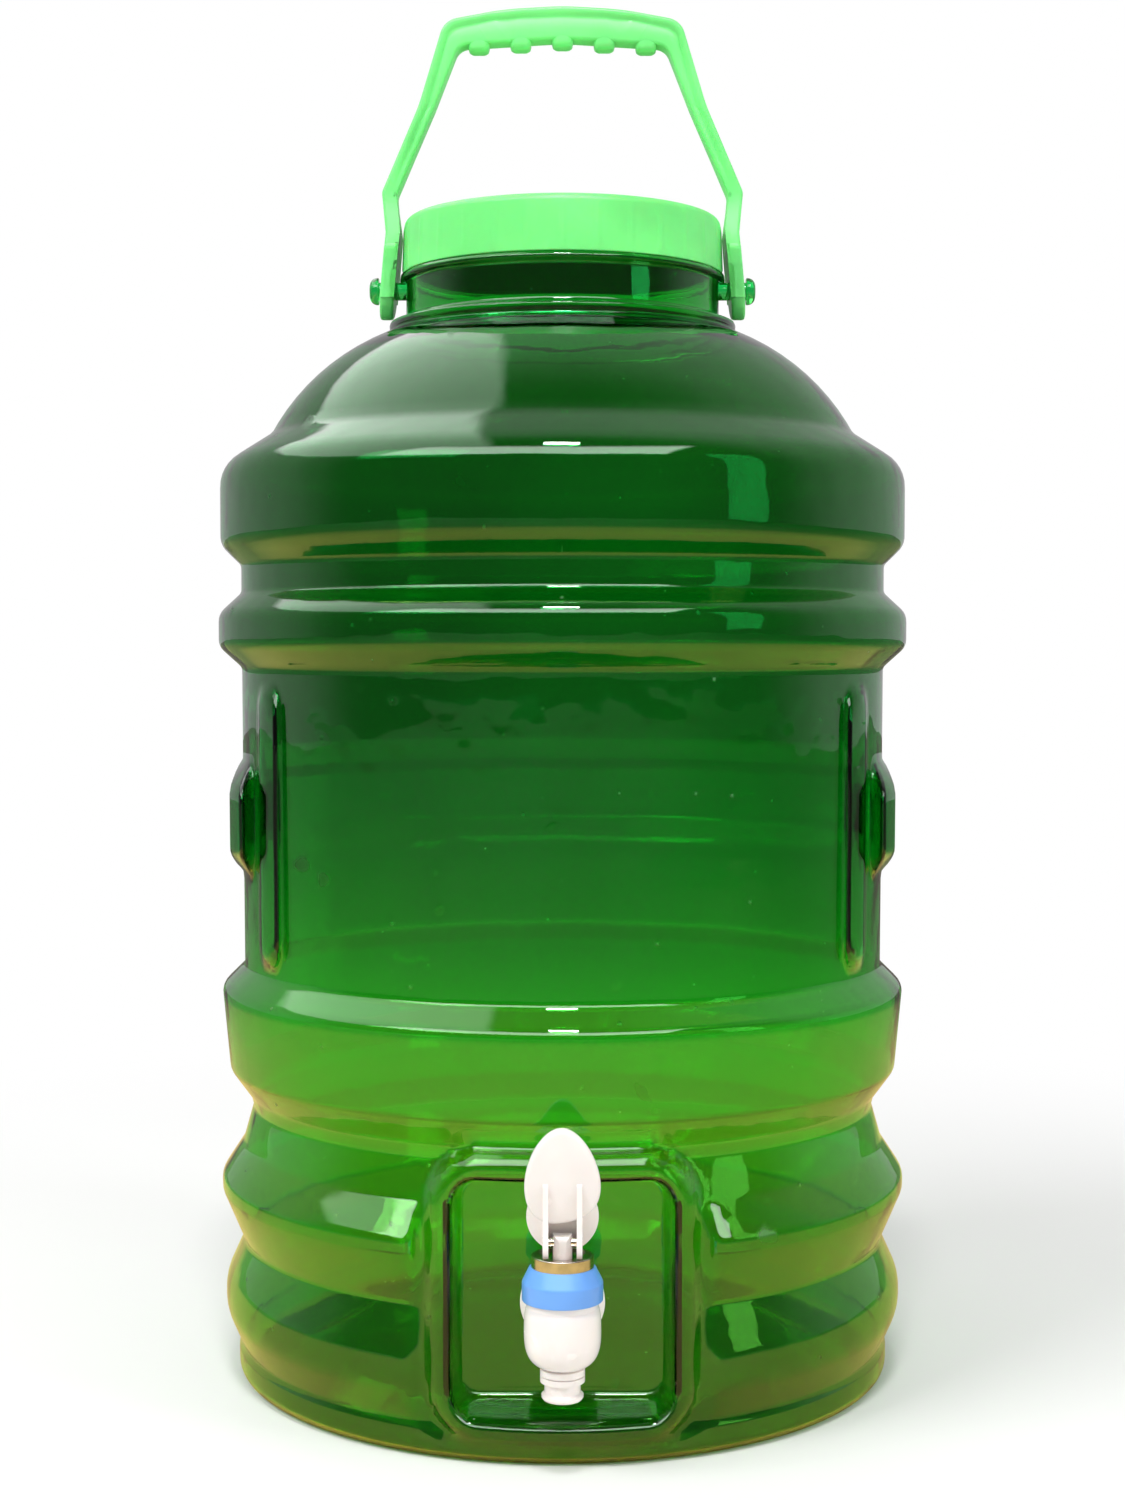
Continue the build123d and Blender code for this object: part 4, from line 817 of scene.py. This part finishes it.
class JAR_OT_handle(bpy.types.Operator):
    """Builds the handle: rimmed grip and arms, finger bumps and the two eyes"""

    bl_idname = "jar.handle"
    bl_label = "Handle"

    def execute(self, context):
        look = context.scene.handle_look
        parts = [handle_bar(look), eye_plate(1), eye_plate(-1)]
        parts += [finger_bump((i - (look.bumps - 1) / 2) * BUMP_PITCH) for i in range(look.bumps)]
        handle = piece("carrying_handle", parts, moulded_plastic(
            "light green plastic of the handle", context.scene.lid_look.colour, 0.34, soft=0.12),
            "handle", sharp=55)
        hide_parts("handle")
        return {"FINISHED"}


# Tap


class JAR_OT_tap(bpy.types.Operator):
    """Finishes the tap: white barrel, lever and stem, coloured collar, steel cap and pin, seals"""

    bl_idname = "jar.tap"
    bl_label = "Tap"

    def execute(self, context):
        look = context.scene.tap_look
        white = moulded_plastic("white plastic", look.white, 0.22, 300.0, 0.00002, 1.05, 0.1)
        dress(white, "tap_body", "tap_lever", "valve_stem", "tap_nut")
        dress(moulded_plastic("blue plastic", look.collar, 0.3, 320.0, 0.00003, 1.1), "tap_collar")
        dress(pressed_steel("pressed steel", look.steel, 0.16), "tap_cap", "lever_pin", "valve_spring")
        dress(soft_rubber("silicone", SILICONE_WHITE, 0.5), "stem_seal", "valve_seal",
              "outer_gasket", "inner_gasket")
        return {"FINISHED"}


# Studio


# How bright the surround is as light, how much the part seen through the clear wall is dimmed, and
# how bright gloss sees the sky on the left and the strip in front.
AS_LIGHT, DIMMER, SKY, STRIP = 0.55, 0.34, 2.0, 6.5
FLOOR_HALF, FLOOR_LEVEL = 6.0, -0.0002
# Each lamp's name, place, target, size and power, and whether gloss sees it.
LAMPS = [
    ("upper left lamp", (-1.5, -1.1, 1.7), (0, 0, 0.3), (1.3, 0.8), 33, False),
    ("right lamp", (1.7, -1.0, 0.9), (0, 0, 0.25), (0.5, 1.3), 14, False),
    ("high lamp", (0.0, -1.15, 2.4), (0, 0, 0.25), (0.34, 0.34), 24, True),
]


def soft_lamp(name, place, target, size, power, gloss):
    """A rectangular lamp at a place, looking at a target, seen in gloss or not."""
    lamp = bpy.data.lights.new(name, "AREA")
    lamp.shape, lamp.size, lamp.size_y = "RECTANGLE", *size
    lamp.energy = power
    made = bpy.data.objects.new(name, lamp)
    made.visible_glossy = gloss
    way = np.array(target, float) - np.array(place, float)
    made.location = place
    made.rotation_euler = (
        math.acos(-way[2] / np.linalg.norm(way)), 0.0, math.atan2(-way[0], way[1]))
    bpy.context.scene.collection.objects.link(made)


class Surround(Paint):
    """The world's own nodes, written in the same way as a material's."""

    def __init__(self, world):
        self.tree = world.node_tree
        self.shader = world.node_tree.nodes["Background"]


def ray_kinds(paint):
    """1 for camera rays, 1 for glossy rays and 1 for transmission rays."""
    return [paint.node("ShaderNodeLightPath", output=name) for name in (
        "Is Camera Ray", "Is Glossy Ray", "Is Transmission Ray")]


def studio_world():
    """A plain white surround, softer as light on the object. Gloss sees a darker room with a pale
    sky high on the left and a strip of it in front. Through the clear wall the surround is dimmer,
    except on the left."""
    world = bpy.data.worlds.new("studio")
    bpy.context.scene.world = world
    world.use_nodes = True
    air = Surround(world)
    way = air.node("ShaderNodeTexCoord", output="Generated")
    x, y, z = (air.node("ShaderNodeSeparateXYZ", {}, {"Vector": way}, output=i) for i in range(3))
    left = 1.0 - (x - y * 0.15).over(-0.26, -0.20)
    strip = (1.0 - z.over(0.76, 0.84)) * (1.0 - y.over(-0.34, -0.24)) * (1.0 - x.over(0.50, 0.54))
    bright = z.over(0.50, 0.54) * (left * SKY).math("MAXIMUM", strip * STRIP)
    camera, gloss, through = ray_kinds(air)
    room = 0.5 - (1.0 - y.over(-0.35, 0.3)) * 0.42 + bright
    white = 1.0 - AS_LIGHT
    plain = camera * white + through * (white - x.over(-0.13, -0.10) * DIMMER) + AS_LIGHT
    air.set("Strength", gloss * room + (1.0 - gloss) * plain)
    air.set("Color", WHITE)


def floor_paint(colour):
    """A pale matt floor that turns into the white surround away from the object. In gloss it shows a
    painted reflection, warm near the object and dark further off. Through the clear wall its far part
    is dimmer, a painted shade that follows the ray's direction."""
    paint = Paint("floor", Roughness=0.6)
    grain = paint.noise(6.0, 2.0)
    here = paint.node("ShaderNodeTexCoord", output="Object")
    away = paint.node("ShaderNodeVectorMath", {"operation": "LENGTH"}, {0: here}, output="Value")
    camera, gloss, through = ray_kinds(paint)
    seen = camera.math("MAXIMUM", through)
    pale = paint.mix(grain, shade(colour, 0.98), colour)
    # Painted reflection: gloss sees warm sunlit ground near the jar and dark ground further off.
    warm = paint.mix(away.over(0.45, 1.0), PAINTED_NEAR_REFLECTION, PAINTED_FAR_REFLECTION)
    paint.set("Base Color", paint.mix(gloss, pale, warm))
    # Painted shade: the far floor seen through the clear wall is dimmed by the ray's direction.
    coming = paint.node("ShaderNodeNewGeometry", output="Incoming")
    right = 1.0 - paint.node("ShaderNodeSeparateXYZ", {}, {"Vector": coming}, output="X").over(
        0.10, 0.13)
    dim = through * right * away.over(0.6, 1.5) * DIMMER
    glow = paint.node("ShaderNodeEmission", {}, {"Color": WHITE, "Strength": 1.0 - dim})
    out = paint.tree.nodes["Material Output"]
    mixed = paint.node("ShaderNodeMixShader", {}, {
        0: seen * away.over(0.28, 0.75), 1: Wire(paint, paint.shader.outputs[0]), 2: glow})
    paint.tree.links.new(mixed.socket, out.inputs["Surface"])
    return paint.material


class JAR_OT_stage(bpy.types.Operator):
    """Sets the floor, the surround, the lamps and the camera"""

    bl_idname = "jar.stage"
    bl_label = "Studio"

    def execute(self, context):
        look = context.scene.studio_look
        mesh = bpy.data.meshes.new("floor")
        mesh.from_pydata([
            (x * FLOOR_HALF, y * FLOOR_HALF, FLOOR_LEVEL)
            for x, y in ((-1, -1), (1, -1), (1, 1), (-1, 1))], [], [(0, 1, 2, 3)])
        mesh.materials.append(floor_paint(look.floor))
        floor = bpy.data.objects.new("floor", mesh)
        context.scene.collection.objects.link(floor)
        studio_world()
        for lamp in LAMPS:
            soft_lamp(*lamp)
        camera = bpy.data.cameras.new("camera")
        camera.lens, camera.sensor_width = look.lens, 36.0
        camera.dof.use_dof = False
        made = bpy.data.objects.new("camera", camera)
        made.location = (0.0, -look.distance, look.height)
        made.rotation_euler = (math.pi / 2 - look.pitch, 0.0, 0.0)
        context.scene.collection.objects.link(made)
        context.scene.camera = made
        context.scene.view_settings.view_transform = "Standard"
        return {"FINISHED"}


# Panel


LOOKS = {
    "jar_look": JarLook, "lid_look": LidLook, "handle_look": HandleLook, "tap_look": TapLook,
    "studio_look": StudioLook,
}
STEPS = {
    "jar_look": JAR_OT_wall, "lid_look": JAR_OT_lid, "handle_look": JAR_OT_handle,
    "tap_look": JAR_OT_tap, "studio_look": JAR_OT_stage,
}


class JAR_PT_panel(bpy.types.Panel):
    """Lists the jar's pieces with their sizes and colours"""

    bl_label = "Water jar with tap"
    bl_space_type = "VIEW_3D"
    bl_region_type = "UI"
    bl_category = PANEL_TAB

    def draw(self, context):
        for key, look in LOOKS.items():
            box = self.layout.box()
            box.operator(STEPS[key].bl_idname)
            for name in look.__annotations__:
                box.prop(getattr(context.scene, key), name)


CLASSES = (*LOOKS.values(), *STEPS.values(), JAR_PT_panel)


def register():
    for made in CLASSES:
        bpy.utils.register_class(made)
    for key, look in LOOKS.items():
        setattr(bpy.types.Scene, key, PointerProperty(type=look))


def unregister():
    for key in LOOKS:
        delattr(bpy.types.Scene, key)
    for made in reversed(CLASSES):
        bpy.utils.unregister_class(made)


def main():
    register()
    for step in (bpy.ops.jar.wall, bpy.ops.jar.lid, bpy.ops.jar.handle, bpy.ops.jar.tap,
                 bpy.ops.jar.stage):
        step()


if __name__ == "__main__":
    main()
